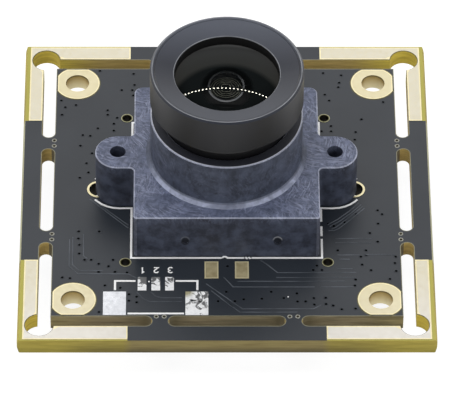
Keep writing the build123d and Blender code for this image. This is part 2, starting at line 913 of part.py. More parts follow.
capacitors = [(place, capacitor_size) for place in side_capacitor_places() + regulator_capacitor_places()]
capacitors += [(place, bulk_capacitor_size) for place in bulk_capacitor_places()]
inner_capacitors = [(place, sensor_capacitor_size) for place in sensor_capacitor_places()]
save_two_ended("capacitor", capacitors, inner_capacitors)
save_two_ended("resistor", [(place, resistor_size) for place in resistor_places()], [])
save_two_ended("ferrite_bead", [(place, bead_size) for place in bead_places()], [])

save("socket_housing", under(socket_housing()))
save("socket_pins", *[under(pin) for pin in socket_pin_solids()])
save("socket_anchors", *[under(socket_anchor(side)) for side in (-1, 1)])
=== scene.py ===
import bpy
import bmesh
import functools
import itertools
import math
from mathutils import Matrix, Vector


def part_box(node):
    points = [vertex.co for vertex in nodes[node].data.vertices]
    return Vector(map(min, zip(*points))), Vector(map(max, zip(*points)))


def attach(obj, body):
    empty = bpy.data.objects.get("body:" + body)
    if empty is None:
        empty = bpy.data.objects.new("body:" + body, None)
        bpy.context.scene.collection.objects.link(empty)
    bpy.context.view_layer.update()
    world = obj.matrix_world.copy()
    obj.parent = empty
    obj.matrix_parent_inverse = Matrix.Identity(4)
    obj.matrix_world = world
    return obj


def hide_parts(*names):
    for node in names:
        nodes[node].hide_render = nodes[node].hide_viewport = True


# Camera module: finishes, fine detail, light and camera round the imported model.
# Places and sizes are in millimetres and turn into metres where a mesh is made.

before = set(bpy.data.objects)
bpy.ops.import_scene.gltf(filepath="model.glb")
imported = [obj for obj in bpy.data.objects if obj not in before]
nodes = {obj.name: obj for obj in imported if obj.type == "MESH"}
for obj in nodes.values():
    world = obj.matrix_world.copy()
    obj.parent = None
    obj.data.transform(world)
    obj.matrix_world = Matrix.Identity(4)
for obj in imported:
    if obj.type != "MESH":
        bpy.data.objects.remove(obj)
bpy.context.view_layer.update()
mm = 0.001
boardTop = 1.6
intoScene = bpy.context.scene.collection.objects.link
print("loaded", len(nodes), "nodes")


def linear(hexColour):
    channels = [int(hexColour[i:i + 2], 16) / 255 for i in (1, 3, 5)]
    return tuple(c / 12.92 if c <= 0.04045 else ((c + 0.055) / 1.055) ** 2.4 for c in channels) + (1.0,)


def addNode(tree, kind, *inputs, out=None, to=None, **named):
    # One node: its kind and mode, its inputs (numbers, hex colours or other sockets) in the order of the sockets in
    # use or by their capitalised names, its settings by their small names, and the socket that its result goes to,
    # which is the shader's where only a name is given
    kind, _, mode = kind.partition(" ")
    node = tree.nodes.new("ShaderNode" + kind)
    if mode:
        setattr(node, "data_type" if kind == "Mix" else "operation", mode)
    for name in [name for name in named if name.islower()]:
        setattr(node, name, named.pop(name))
    wired = list(zip([socket for socket in node.inputs if socket.enabled], inputs))
    for socket, value in wired + [(node.inputs[name], value) for name, value in named.items()]:
        if isinstance(value, bpy.types.NodeSocket):
            tree.links.new(value, socket)
        else:
            socket.default_value = linear(value) if isinstance(value, str) else value
    if out == "all":
        return node.outputs
    result = node.outputs[out] if out else [socket for socket in node.outputs if socket.enabled][0]
    if to:
        tree.links.new(result, tree.nodes["Principled BSDF"].inputs[to] if isinstance(to, str) else to)
    return result


def newMaterial(name, colour, metallic, roughness, **sockets):
    # The material, and addNode for its own tree
    material = bpy.data.materials.new(name)
    material.use_nodes = True
    shader = material.node_tree.nodes["Principled BSDF"]
    shader.inputs["Base Color"].default_value = linear(colour)
    shader.inputs["Metallic"].default_value = metallic
    shader.inputs["Roughness"].default_value = roughness
    for name, value in sockets.items():
        shader.inputs[name.replace("_", " ")].default_value = value
    return material, functools.partial(addNode, material.node_tree)


def placeOn(add):
    # A point of the surface in the part's own millimetres
    return add("VectorMath SCALE", add("TexCoord", out="Object"), 1 / mm)


def grained(name, look):
    # A finish that a fine grain shifts between two colours and, where its look says so, in gloss and height
    colours, sockets = look["colours"], look.get("sockets", {})
    material, add = newMaterial(name, colours[0], look.get("metallic", 0.0), look["roughness"], **sockets)
    grain = add(look.get("pattern", "TexNoise"), placeOn(add), 1 / look["grain"], look.get("detail", 3.0))
    blend = add("MapRange", grain, *look["blend"]) if "blend" in look else grain
    add("Mix RGBA", blend, *colours, to="Base Color")
    if "gloss" in look:
        add("MapRange", grain, *look["gloss"], to="Roughness")
    if "dents" in look:
        strength, depth = look["dents"]
        add("Bump", Strength=strength, Distance=depth * mm, Height=grain, to="Normal")
    return material


def finish(material, *names):
    for name in names:
        for slot in nodes[name].material_slots:
            slot.material = material


def addPiece(name, shape, materials, body, smooth=False):
    # A bmesh in millimetres becomes a piece that rides on a body
    bmesh.ops.recalc_face_normals(shape, faces=shape.faces)
    bmesh.ops.scale(shape, vec=(mm, mm, mm), verts=shape.verts)
    mesh = bpy.data.meshes.new(name)
    shape.to_mesh(mesh)
    shape.free()
    for material in materials if isinstance(materials, (list, tuple)) else [materials]:
        mesh.materials.append(material)
    piece = bpy.data.objects.new(name, mesh)
    intoScene(piece)
    if smooth:
        mesh.shade_smooth()
    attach(piece, body)
    return piece


def layLine(shape, points, width, low, high, slope):
    # A thin raised line along flat points, with mitred corners and sides that lean in by the slope
    shortestMitre = 0.45  # keeps the tips of sharp corners near the line
    path = [Vector(point) for point in points]
    runs = [(b - a).normalized() for a, b in zip(path, path[1:])]
    rows = []
    for step, here in enumerate(path):
        before = runs[max(step - 1, 0)]
        run = (before + runs[min(step, len(runs) - 1)]).normalized()
        across = Vector((-run.y, run.x))
        reach = width / 2 / max(shortestMitre, across.dot(Vector((-before.y, before.x))))
        rows.append([shape.verts.new((here.x + across.x * side, here.y + across.y * side, height))
                     for side, height in ((reach, low), (reach - slope, high), (slope - reach, high), (-reach, low))])
    for a, b in zip(rows, rows[1:]):
        for k in range(3):
            shape.faces.new((a[k], a[k + 1], b[k + 1], b[k]))
    shape.faces.new(rows[0])
    shape.faces.new(rows[-1][::-1])


def spinProfile(shape, profile, sides, centre=(0.0, 0.0), materialSteps=None):
    # Turns (radius, height) pairs about an upright axis, as on a lathe
    rings = []
    for radius, height in profile:
        count = sides if radius > 1e-6 else 1
        turns = [2 * math.pi * k / sides for k in range(count)]
        rings.append([shape.verts.new((centre[0] + radius * math.cos(turn), centre[1] + radius * math.sin(turn),
                                       height)) for turn in turns])
    for step, (a, b) in enumerate(zip(rings, rings[1:])):
        for k in range(sides):
            corners = [a[k % len(a)], a[(k + 1) % len(a)], b[(k + 1) % len(b)], b[k % len(b)]]
            corners = list(dict.fromkeys(corners))
            if len(corners) > 2:
                face = shape.faces.new(corners)
                if materialSteps:
                    face.material_index = materialSteps[step]


# The camera stands as far off as the photograph's and is as long
cameraSetup = {
    "eye": (-3.527, -320.575, 331.358),
    "aim": (0.5876, -1.3622, 1.6),
    "roll": -0.5311,  # degrees
    "lens": 383.604,  # on a 36 mm wide sensor
}
cameraData = bpy.data.cameras.new("camera")
cameraData.sensor_fit = "HORIZONTAL"
cameraData.sensor_width = 36.0
cameraData.lens = cameraSetup["lens"]
cameraData.clip_start = 0.01
cameraData.clip_end = 20.0
camera = bpy.data.objects.new("camera", cameraData)
intoScene(camera)
eye = Vector(cameraSetup["eye"])
back = (eye - Vector(cameraSetup["aim"])).normalized()
levelRight = Vector((0, 0, 1)).cross(back).normalized()
levelUp = back.cross(levelRight)
roll = math.radians(cameraSetup["roll"])
right = levelRight * math.cos(roll) - levelUp * math.sin(roll)
up = levelUp * math.cos(roll) + levelRight * math.sin(roll)
camera.matrix_world = Matrix.Translation(eye * mm) @ Matrix((right, up, back)).transposed().to_4x4()
bpy.context.scene.camera = camera
bpy.context.scene.view_settings.view_transform = "Standard"

# White studio: soft lamps overhead, behind and at the side, and a dark ceiling that only mirrors see
studio = {
    "floorHeight": -3.4,
    "floorSize": 4000,
    "floorWhite": 0.88,
    "floorGrey": "#8f8f8f",  # what the lamps light, so that the shadow shows
    "worldLight": 0.44,
    "ceiling": "#3c3c3e",
    "ceilingStart": 0.50,  # sine of the height angle at which the white wall ends
    "ceilingFull": 0.60,
    "lamps": {
        "softLamp": {"place": (-120, -60, 560), "aim": (0, 0, 5), "size": 420, "power": 1.45, "mirrored": False},
        "sideLamp": {"place": (420, -330, 260), "aim": (0, 0, 5), "size": 260, "power": 0.42, "mirrored": False},
        "backLamp": {"place": (-10, 430, 440), "aim": (0, 0, 2), "size": 420, "power": 0.75, "mirrored": True},
    },
    "rowCount": 23,
    "rowEnds": ((-269, 216, 380), (267, 187, 397)),
    "rowMiddle": (-4, 218, 466),
    "rowSize": 10.0,
    "rowSpread": 0.127,  # the middle lights stand this much wider apart than the mean, the end ones closer
    "rowStrength": 150.0,
}


def isSeen(add, rays):
    # Where the camera looks, or what glass and metal show it
    seenBy = add("Math MAXIMUM", rays["Is Camera Ray"], rays["Is Transmission Ray"])
    return add("Math MAXIMUM", seenBy, rays["Is Glossy Ray"])


world = bpy.data.worlds.new("studio")
bpy.context.scene.world = world
world.use_nodes = True
sky = functools.partial(addNode, world.node_tree)
plain = world.node_tree.nodes["Background"]
plain.inputs["Color"].default_value = (1, 1, 1, 1)
plain.inputs["Strength"].default_value = studio["worldLight"]
rays = sky("LightPath", out="all")
lookUp = sky("SeparateXYZ", sky("TexCoord", out="Generated"), out="Z")
ceiling = sky("MapRange", lookUp, studio["ceilingStart"], studio["ceilingFull"])
ceiling = sky("Math MULTIPLY", ceiling, rays["Is Glossy Ray"])
seenColour = sky("Mix RGBA", ceiling, "#ffffff", studio["ceiling"])
seen = sky("Background", seenColour, 1.0)
surface = world.node_tree.nodes["World Output"].inputs["Surface"]
sky("MixShader", isSeen(sky, rays), plain.outputs[0], seen, to=surface)

# The front glass mirrors only the white wall, the ceiling and the row of small lights, and no lamp
unlitGlass = bpy.data.collections.new("unlitGlass")
for name, setup in studio["lamps"].items():
    lampData = bpy.data.lights.new(name, "AREA")
    lampData.shape = "SQUARE"
    lampData.size = setup["size"] * mm
    lampData.energy = setup["power"]
    lamp = bpy.data.objects.new(name, lampData)
    intoScene(lamp)
    way = Vector(setup["aim"]) - Vector(setup["place"])
    turned = way.to_track_quat("-Z", "Y").to_matrix().to_4x4()
    lamp.matrix_world = Matrix.Translation(Vector(setup["place"]) * mm) @ turned
    lamp.visible_glossy = setup["mirrored"]
    lamp.light_linking.receiver_collection = unlitGlass

# White table: seen as white, yet it takes the object's shadow
table, add = newMaterial("whiteTable", studio["floorGrey"], 0.0, 0.9, Emission_Color=(1, 1, 1, 1))
add("Math MULTIPLY", isSeen(add, add("LightPath", out="all")), studio["floorWhite"], to="Emission Strength")
half = studio["floorSize"] / 2 * mm
floorMesh = bpy.data.meshes.new("floor")
corners = [(x * half, y * half, studio["floorHeight"] * mm) for x, y in ((-1, -1), (1, -1), (1, 1), (-1, 1))]
floorMesh.from_pydata(corners, [], [(0, 1, 2, 3)])
floorMesh.materials.append(table)
floor = bpy.data.objects.new("floor", floorMesh)
intoScene(floor)

# The row of small lights is seen in the front glass only
lightMaterial, add = newMaterial("smallLights", "#ffffff", 0.0, 0.5, Emission_Color=(1, 1, 1, 1),
                                 Emission_Strength=studio["rowStrength"])
rowShape = bmesh.new()
first, last = (Vector(end) for end in studio["rowEnds"])
bow = Vector(studio["rowMiddle"]) * 2 - (first + last) / 2
for step in range(studio["rowCount"]):
    t = step / (studio["rowCount"] - 1)
    t -= studio["rowSpread"] * math.sin(2 * math.pi * t) / 2 / math.pi
    spot = first * (1 - t) ** 2 + bow * 2 * t * (1 - t) + last * t ** 2
    tilt = (-spot).to_track_quat("Z", "Y").to_matrix().to_4x4()
    bmesh.ops.create_circle(rowShape, cap_ends=True, segments=12, radius=studio["rowSize"] / 2 * mm,
                            matrix=Matrix.Translation(spot * mm) @ tilt)
rowMesh = bpy.data.meshes.new("lightRow")
rowShape.to_mesh(rowMesh)
rowShape.free()
rowMesh.materials.append(lightMaterial)
lightRow = bpy.data.objects.new("lightRow", rowMesh)
intoScene(lightRow)
lightRow.visible_camera = False
lightRow.visible_diffuse = False
lightRow.visible_shadow = False
print("camera, lamps and table are in place")

# Circuit board
boardLook = {
    "mask": "#2d3239",
    "maskPatch": "#292e35",
    "openingEdge": "#5e5930",  # bare laminate round a mask opening, in shade
    "routedEdge": "#84816a",  # the mask's pale edge along the routed slots
    "laminateTop": "#cab85e",
    "laminateLow": "#8f8241",
    "laminateMid": "#a8986a",  # browner where the copper planes reach the edge
    "laminateCorner": "#ffea66",  # clear resin and glass, with no copper behind it
    "laminateCore": "#a69f8c",  # the inner board's routed edge
    "laminateBand": "#5f5a40",
    "laminateRail": "#dcc27a",  # the rail's routed edge
    "strip": "#b9b158",
    "stripPale": "#dddbb6",  # along the mask, where the cut is scraped
    "maskEnd": 18.83,  # the mask stops short of the scored sides
    "landStart": 9.0,
    "landMaskEnd": 18.5,
    "frontMaskEnd": 18.87,
    "mountPlace": (14.0, 14.0, 0.0),
    "mountRing": 2.1,
    "mountGap": 0.09,
    "coreEdge": 16.0,
    "railEdge": 17.2,
    "routedLine": 0.07,
    "slotEnds": (4.7, 7.4),
    "slotMiddle": 16.6,
    "slotHalf": 0.6,
    "laminateFootShade": "#4d4830",
    "threadShade": "#8e7f45",
    "clearStart": (11.0, 16.5),
    "scoredStart": 18.6,
    "slotEndShade": (2.9, 1.5),  # from the tab's middle
    "patchSize": 6.25,
    "peelPitch": 0.3,  # orange peel, coarser than the real one so it shows
    "threadPitch": 0.25,  # glass threads seen in the cut edge
    "roughness": (0.7, 0.40),  # of the bare laminate and of the mask
    "peelDepth": 0.02,
}


def solderMaskLaminate(look):
    # Epoxy ink sprayed on and baked: satin, dark, near even, with a faint orange peel.
    # Cut glass-fibre laminate: matt, translucent yellow, with level streaks from its glass threads.
    material, add = newMaterial("solderMaskLaminate", look["mask"], 0.0, 0.42)
    where = placeOn(add)
    x, y, z = add("SeparateXYZ", add("VectorMath ABSOLUTE", where), out="all")
    facing = add("VectorMath ABSOLUTE", add("TexCoord", out="Normal"))
    flat = add("Math GREATER_THAN", add("SeparateXYZ", facing, out="Z"), 0.9)
    outer = add("Math MAXIMUM", x, y)
    inner = add("Math MINIMUM", x, y)
    patch = add("MapRange", add("TexNoise", where, 1 / look["patchSize"], 3.0), 0.4, 0.62)
    mask = add("Mix RGBA", patch, look["mask"], look["maskPatch"])
    # the mask's pale line along the routed slots, left out at the tabs
    half = look["routedLine"] / 2
    coreLine = add("Math COMPARE", outer, look["coreEdge"] - half, half)
    railLine = add("Math COMPARE", outer, look["railEdge"] + half, half)
    slotLine = add("Math MAXIMUM", coreLine, railLine)
    tabMiddle = sum(look["slotEnds"]) / 2
    atTab = add("Math COMPARE", inner, tabMiddle, look["slotEnds"][1] - tabMiddle)
    slotLine = add("Math SUBTRACT", slotLine, atTab, use_clamp=True)
    folded = add("CombineXYZ", inner, outer)
    for end in look["slotEnds"]:
        fromEnd = add("VectorMath DISTANCE", folded, (end, look["slotMiddle"], 0.0))
        endLine = add("Math COMPARE", fromEnd, look["slotHalf"] + half, half)
        slotLine = add("Math MAXIMUM", slotLine, add("Math MULTIPLY", endLine, atTab))
    mask = add("Mix RGBA", slotLine, mask, look["routedEdge"])
    # a bare gap round the corner rings, its laminate painted dark as shade
    level = add("CombineXYZ", x, y)
    fromHole = add("VectorMath DISTANCE", level, look["mountPlace"])
    gap = add("Math COMPARE", fromHole, look["mountRing"] + look["mountGap"] / 2, look["mountGap"] / 2)
    mask = add("Mix RGBA", gap, mask, look["openingEdge"])
    # bare laminate along the sides, wider beside the lands
    bare = add("Math GREATER_THAN", x, look["maskEnd"])
    for across, end, along in ((x, "landMaskEnd", y), (y, "frontMaskEnd", x)):
        past = add("Math GREATER_THAN", across, look[end])
        past = add("Math MULTIPLY", past, add("Math GREATER_THAN", along, look["landStart"]))
        bare = add("Math MAXIMUM", bare, past)
    pale = add("Math LESS_THAN", y, look["landStart"])
    strip = add("Mix RGBA", pale, look["strip"], look["stripPale"])
    top = add("Mix RGBA", bare, mask, strip)
    # cut walls: lighter near the top face and towards the corners
    height = add("MapRange", z, 0.1, 1.4)
    wall = add("Mix RGBA", height, look["laminateLow"], look["laminateTop"])
    middle = add("MapRange", inner, look["landStart"] + 0.4, look["landStart"] - 0.4, 0.0, 0.8)
    # painted shade darkens the foot of the walls between the lands
    foot = add("Math MULTIPLY", add("MapRange", z, 0.75, 0.1, 0.0, 0.95), middle)
    clear = add("MapRange", inner, *look["clearStart"], 0.0, 0.9, interpolation_type="SMOOTHSTEP")
    routed = add("Math LESS_THAN", outer, look["scoredStart"])
    clear = add("Math MULTIPLY", clear, add("MapRange", routed, 0, 1, 0.42, 1.0))
    sideways = add("Math GREATER_THAN", add("SeparateXYZ", facing, out="X"), 0.6)
    scored = add("Math MULTIPLY", sideways, add("Math SUBTRACT", pale, routed, use_clamp=True))
    onCore = add("Math MULTIPLY", add("Math LESS_THAN", outer, look["coreEdge"] + 0.3), 0.85)
    # long dark and pale bands that the router left along the inner board's edge, and painted shade that darkens each
    # slot's ends
    band = add("TexNoise", add("Mapping", where, Scale=(0.16, 0.16, 1.7)), 1.0, 5.0)
    band = add("MapRange", band, 0.42, 0.56, 0.0, 0.65)
    fromTab = add("Math ABSOLUTE", add("Math SUBTRACT", inner, tabMiddle))
    slotEnd = add("MapRange", fromTab, *look["slotEndShade"], 0.0, 0.75)
    band = add("Math MULTIPLY", add("Math MAXIMUM", band, slotEnd), onCore)
    for amount, colour in ((middle, "laminateMid"), (foot, "laminateFootShade"), (routed, "laminateRail"),
                           (clear, "laminateCorner"), (scored, "stripPale"), (onCore, "laminateCore"),
                           (band, "laminateBand")):
        wall = add("Mix RGBA", amount, wall, look[colour])
    threads = add("TexNoise", add("Mapping", where, Scale=(0.4, 0.4, 1 / look["threadPitch"])), 1.0, 4.0)
    threads = add("MapRange", threads, 0.38, 0.68, 0.0, 0.32)
    wall = add("Mix RGBA", threads, wall, look["threadShade"], blend_type="MULTIPLY")
    add("Mix RGBA", flat, wall, top, to="Base Color")
    inked = add("Math SUBTRACT", flat, bare, use_clamp=True)
    add("MapRange", inked, 0, 1, *look["roughness"], to="Roughness")
    peel = add("TexNoise", where, 1 / look["peelPitch"], 2.0)
    add("Bump", Strength=0.15, Distance=look["peelDepth"] * mm, Height=peel, to="Normal")
    return material


boardMaterial = solderMaskLaminate(boardLook)
finish(boardMaterial, "circuit_board")

# Plating
plating = {
    "gold": "#e1dbc8",
    "goldGrainAndRimHighlight": "#fff3c6",
    "goldPale": "#efebe4",
    "goldRing": "#eee0a8",
    "goldWall": "#b8a062",
    "goldWallTableReflection": "#efe3b8",
    "goldDull": "#c6b68a",  # small pads whose plating is thin and stained
    "goldStained": "#57532f",  # the rings of the four small holes
    "goldRubbed": "#b3b190",
    "goldLipShade": "#6f6236",
    "holeShade": "#231f13",  # the walls of small holes
    "smallHole": (9.27, 9.32, 0.0),
    "smallRingRub": 0.5,
    "padInner": (0.755, 9.22),
    "padOuter": (2.025, 11.35),
    "edgeWidth": 0.12,
    "grainPitch": 0.35,  # brushing and plating grain, coarser than the real one so it shows
    "grainDepth": 0.02,
    "goldRoughness": (0.38, 0.52),
    "ringReach": 2.2,
    "cornerReach": 2.4,
    "inlandEnd": 17.0,
    "smallRingReach": 0.8,
    "paleTowardsFront": (-11.0, -18.0),
    "stainSize": 0.625,
    "ringFlat": 15.85,
    "landInner": 17.25,
    "landEnds": (18.5, 18.87),  # at the sides and at the front and back
    "reliefPlace": (16.2, 16.3, 0.0),
    "reliefRing": 1.3,
    "tin": "#eceef3",
    "tinPaintedLight": "#fdfeff",
    "tinShade": "#b4b7be",
    "tinDark": "#1d1f22",
    "flux": "#8d8440",
    "swirlPitch": 0.75,
    "swirlDepth": 0.1,
    "tinRoughness": (0.25, 0.5),
    "sweepPlace": (-2.3, -14.6, 2.1),
    "sweepR": 1.0,
    "smearPlace": (-2.3, -14.0, 1.63),  # where the iron dragged the flux
    "smearR": 1.25,
    "smearDepth": 0.15,
    "smearedPads": (-12.5, -11.7),
    "untouched": (-9.0, -8.0),
    "sweptAbove": (-15.2, -14.2),
    "anchorStart": -4.2,
    "fluxPlace": (-3.77, -12.99, 1.6),
    "fluxReach": (0.9, 0.35),
}


def immersionGold(look):
    # Gold plated chemically on nickel: pale, satin, faintly brushed and never polished, with a painted highlight
    # along its rounded rims.
    material, add = newMaterial("immersionGold", look["gold"], 0.55, 0.45)
    where = placeOn(add)
    x, y, z = add("SeparateXYZ", add("VectorMath ABSOLUTE", where), out="all")
    outer = add("Math MAXIMUM", x, y)
    level = add("CombineXYZ", x, y)
    fromHole = add("VectorMath DISTANCE", level, boardLook["mountPlace"])
    # how far a point is inside the rim of a ring, of either arm of a land, and outside the relief hole
    ringDepth = add("Math SUBTRACT", boardLook["mountRing"], fromHole)
    flatDepth = add("Math SUBTRACT", look["ringFlat"], outer)
    ringDepth = add("Math MINIMUM", ringDepth, flatDepth)
    armDepths = []
    sideEnd, frontEnd = look["landEnds"]
    for along, across, side, end in ((x, y, frontEnd, sideEnd), (y, x, sideEnd, frontEnd)):
        depth = add("Math SUBTRACT", across, look["landInner"])
        for far, near in ((side, across), (along, boardLook["landStart"]), (end, along)):
            depth = add("Math MINIMUM", depth, add("Math SUBTRACT", far, near))
        armDepths.append(depth)
    landDepth = add("Math MAXIMUM", *armDepths)
    fromRelief = add("VectorMath DISTANCE", level, look["reliefPlace"])
    landDepth = add("Math MINIMUM", landDepth, add("Math SUBTRACT", fromRelief, look["reliefRing"]))
    depth = add("Math MAXIMUM", ringDepth, landDepth)
    # painted highlight: a bright band just inside the rims of the rings and lands
    rim = add("MapRange", depth, look["edgeWidth"] + 0.03, look["edgeWidth"] - 0.03)
    grain = add("TexNoise", where, 1 / look["grainPitch"], 4.0)
    warmth = add("MapRange", grain, 0.3, 0.7, 0.05, 0.22)
    fill = add("Mix RGBA", warmth, look["gold"], look["goldGrainAndRimHighlight"])
    # paler towards the front
    paleTowardsFront = add("MapRange", add("SeparateXYZ", where, out="Y"), *look["paleTowardsFront"], 0.0, 0.8)
    fill = add("Mix RGBA", paleTowardsFront, fill, look["goldPale"])
    onRing = add("Math LESS_THAN", fromHole, look["ringReach"])
    fill = add("Mix RGBA", add("Math MULTIPLY", onRing, 0.5), fill, look["goldRing"])
    face = add("Mix RGBA", rim, fill, look["goldGrainAndRimHighlight"])
    # small rings and pads away from the corners are stained
    cornerDistance = add("Math GREATER_THAN", fromHole, look["cornerReach"])
    inland = add("Math LESS_THAN", outer, look["inlandEnd"])
    small = add("Math MULTIPLY", cornerDistance, inland)
    stain = add("MapRange", add("TexNoise", where, 1 / look["stainSize"], 3.0), 0.3, 0.7, 0.55, 1.0)
    padDepths = []
    for along, low, high in zip((x, y), look["padInner"], look["padOuter"]):
        padDepths.append(add("Math MINIMUM", add("Math SUBTRACT", along, low), add("Math SUBTRACT", high, along)))
    onPad = add("Math GREATER_THAN", add("Math MINIMUM", *padDepths), look["edgeWidth"])
    stain = add("Math MULTIPLY", stain, onPad)
    face = add("Mix RGBA", stain, face, look["goldDull"])
    fromSmallHole = add("VectorMath DISTANCE", level, look["smallHole"])
    onSmallRing = add("Math LESS_THAN", fromSmallHole, look["smallRingReach"])
    ringRub = add("MapRange", fromSmallHole, look["smallRingRub"] - 0.04, look["smallRingRub"] + 0.02)
    ring = add("Mix RGBA", ringRub, look["goldStained"], look["goldRubbed"])
    face = add("Mix RGBA", onSmallRing, face, ring)
    # hole walls: painted shade at the top and a painted reflection of the white table at the bottom, all painted
    # shade in small holes
    wall = add("Mix RGBA", add("MapRange", z, 0.1, 1.3), look["goldWallTableReflection"], look["goldWall"])
    wall = add("Mix RGBA", add("MapRange", z, 1.35, 1.55), wall, look["goldLipShade"])
    wall = add("Mix RGBA", small, wall, look["holeShade"])
    facing = add("VectorMath ABSOLUTE", add("TexCoord", out="Normal"))
    flat = add("Math GREATER_THAN", add("SeparateXYZ", facing, out="Z"), 0.5)
    add("Mix RGBA", flat, wall, face, to="Base Color")
    add("MapRange", grain, 0.3, 0.7, *look["goldRoughness"], to="Roughness")
    add("Bump", Strength=0.1, Distance=look["grainDepth"] * mm, Height=grain, to="Normal")
    return material


def tinnedPads(look):
    # Hot tin left by an iron: bright and near white where it is smooth, with dark swirls of flux where it was worked
    # over again, and painted whiter and less metallic there as painted light, against the shade on the right pads.
    material, add = newMaterial("tinnedPads", look["tin"], 0.35, 0.38)
    where = placeOn(add)
    x, y, _ = add("SeparateXYZ", where, out="all")
    swirl = add("TexNoise", where, 1 / look["swirlPitch"], 6.0, Distortion=1.6)
    # the left anchor pad was never touched, the right one was; the pads from there rightwards are also painted whiter
    # as painted light
    reworkedAndPaintedLight = add("MapRange", x, *look["untouched"], 0.06, 1.0)
    # most of it lies on the upper right of the anchor pad and on the upper half of the three small ones
    fromSmear = add("VectorMath DISTANCE", where, look["smearPlace"])
    smear = add("MapRange", fromSmear, look["smearR"], 0.3)
    smallSmear = add("MapRange", y, *look["smearedPads"], 0.0, 0.9)
    smear = add("Math MAXIMUM", smear, smallSmear)
    smeared = add("Math MULTIPLY_ADD", smear, look["smearDepth"], swirl)
    dark = add("MapRange", smeared, 0.59, 0.66, 0.0, 0.85)
    dragged = add("VectorMath ADD", add("TexNoise", where, 1.1, 4.0, out="Color"), where)
    fromSweep = add("VectorMath DISTANCE", dragged, look["sweepPlace"])
    sweep = add("Math COMPARE", fromSweep, look["sweepR"], 0.13)
    for part in (add("MapRange", swirl, 0.36, 0.5), add("MapRange", y, *look["sweptAbove"]),
                 add("Math GREATER_THAN", x, look["anchorStart"])):
        sweep = add("Math MULTIPLY", sweep, part)
    dark = add("Math MAXIMUM", add("Math MULTIPLY", dark, reworkedAndPaintedLight), sweep)
    soft = add("MapRange", add("TexNoise", where, 3.0, 3.0), 0.45, 0.7, 0.0, 0.25)
    paintedWhiter = add("Mix RGBA", reworkedAndPaintedLight, look["tin"], look["tinPaintedLight"])
    colour = add("Mix RGBA", soft, paintedWhiter, look["tinShade"])
    add("MapRange", reworkedAndPaintedLight, 0, 1, 0.37, 0.02, to="Metallic")
    colour = add("Mix RGBA", dark, colour, look["tinDark"])
    fromCorner = add("VectorMath DISTANCE", where, look["fluxPlace"])
    stain = add("MapRange", fromCorner, *look["fluxReach"], 0.0, 0.8)
    add("Mix RGBA", stain, colour, look["flux"], to="Base Color")
    add("MapRange", swirl, 0.35, 0.65, *look["tinRoughness"], to="Roughness")
    relief = add("Math MULTIPLY", swirl, reworkedAndPaintedLight)
    add("Bump", Strength=0.25, Distance=look["swirlDepth"] * mm, Height=relief, to="Normal")
    return material


# Tin plated on copper strip and lightly reflowed: soft silver, a little cloudy
leadLook = {"colours": ("#dcdee2", "#8e9196"), "metallic": 0.8, "roughness": 0.34, "grain": 0.4, "detail": 4.0,
            "gloss": (0.3, 0.7, 0.26, 0.44), "dents": (0.3, 0.04)}
goldMaterial = immersionGold(plating)
tinMaterial = tinnedPads(plating)
leadMaterial = grained("tinPlatedLeads", leadLook)
finish(goldMaterial, "corner_lands", "mounting_rings", "test_hole_rings", "screw_slot_rings", "test_pads",
       "socket_pins")
finish(tinMaterial, "spare_pin_pads", "spare_anchor_pads")
finish(leadMaterial, "processor_leads", "flash_leads", "regulator_leads", "surge_protector_leads", "capacitor_ends",
       "resistor_ends", "ferrite_bead_ends", "socket_anchors")
print("board and plating are finished")

# Printed legend, vias and buried tracks on the board's top face
earLine = [(8.75, 2.42), (9.8, 2.44), (10.45, 2.38), (11.0, 2.2), (11.5, 1.92), (11.9, 1.58), (12.15, 1.31)]


def mirrored(points, x, y):
    return [(px * x, py * y) for px, py in points]


legend = {
    "ink": "#ffffff",
    "inkThin": "#b9bdc2",
    "width": 0.205,
    "slope": 0.012,
    "thick": 0.02,
    "sunk": 0.005,  # below the board's face, so that no gap shows
    "outline": [
        [(-0.42, -8.75), (-8.75, -8.75), *mirrored(earLine, -1, -1)],
        [(-0.42, -8.75), (-0.27, -8.6), (-0.1, -8.6), (0.1, -8.75), (1.62, -8.75)],
        [(1.72, -8.68), (1.92, -8.86)], [(2.0, -8.66), (2.2, -8.86)],
        [(2.28, -8.75), (8.75, -8.75), (8.75, -6.35)],
        [(8.75, -6.0), (8.75, -4.75)], [(8.75, -4.15), *mirrored(earLine, 1, -1)],
        [*mirrored(earLine, -1, 1)[::-1], (-8.75, 8.75), (8.75, 8.75), *earLine],
        [(-10.18, -12.79), (-10.18, -11.64), (-8.32, -11.64)],
        [(-4.66, -11.64), (-2.68, -11.64), (-2.68, -12.79)],
        [(-9.02, -15.68), (-3.89, -15.68)],
    ],
    "dots": [(-7.09, -11.72, 0.09), (5.57, -13.62, 0.07), (12.1, 1.75, 0.06)],
    "digitMiddle": 0.24,
    "digitWidth": 0.13,
    "digitSlope": 0.01,
    "digits": {
        "1": [[(0.08, 0.52), (0.25, 0.66), (0.25, 0.0)]],
        "2": [[(0.04, 0.5), (0.1, 0.62), (0.24, 0.66), (0.38, 0.6), (0.42, 0.46), (0.36, 0.34), (0.04, 0.03),
               (0.44, 0.03)]],
        "3": [[(0.04, 0.58), (0.16, 0.66), (0.32, 0.64), (0.4, 0.52), (0.34, 0.38), (0.2, 0.35)],
              [(0.34, 0.36), (0.42, 0.2), (0.34, 0.04), (0.16, 0.0), (0.04, 0.08)]],
    },
    "padDigits": {"1": -7.69, "2": -6.45, "3": -5.16},
    "padDigitTop": -10.29 + 0.68 / 2,
}
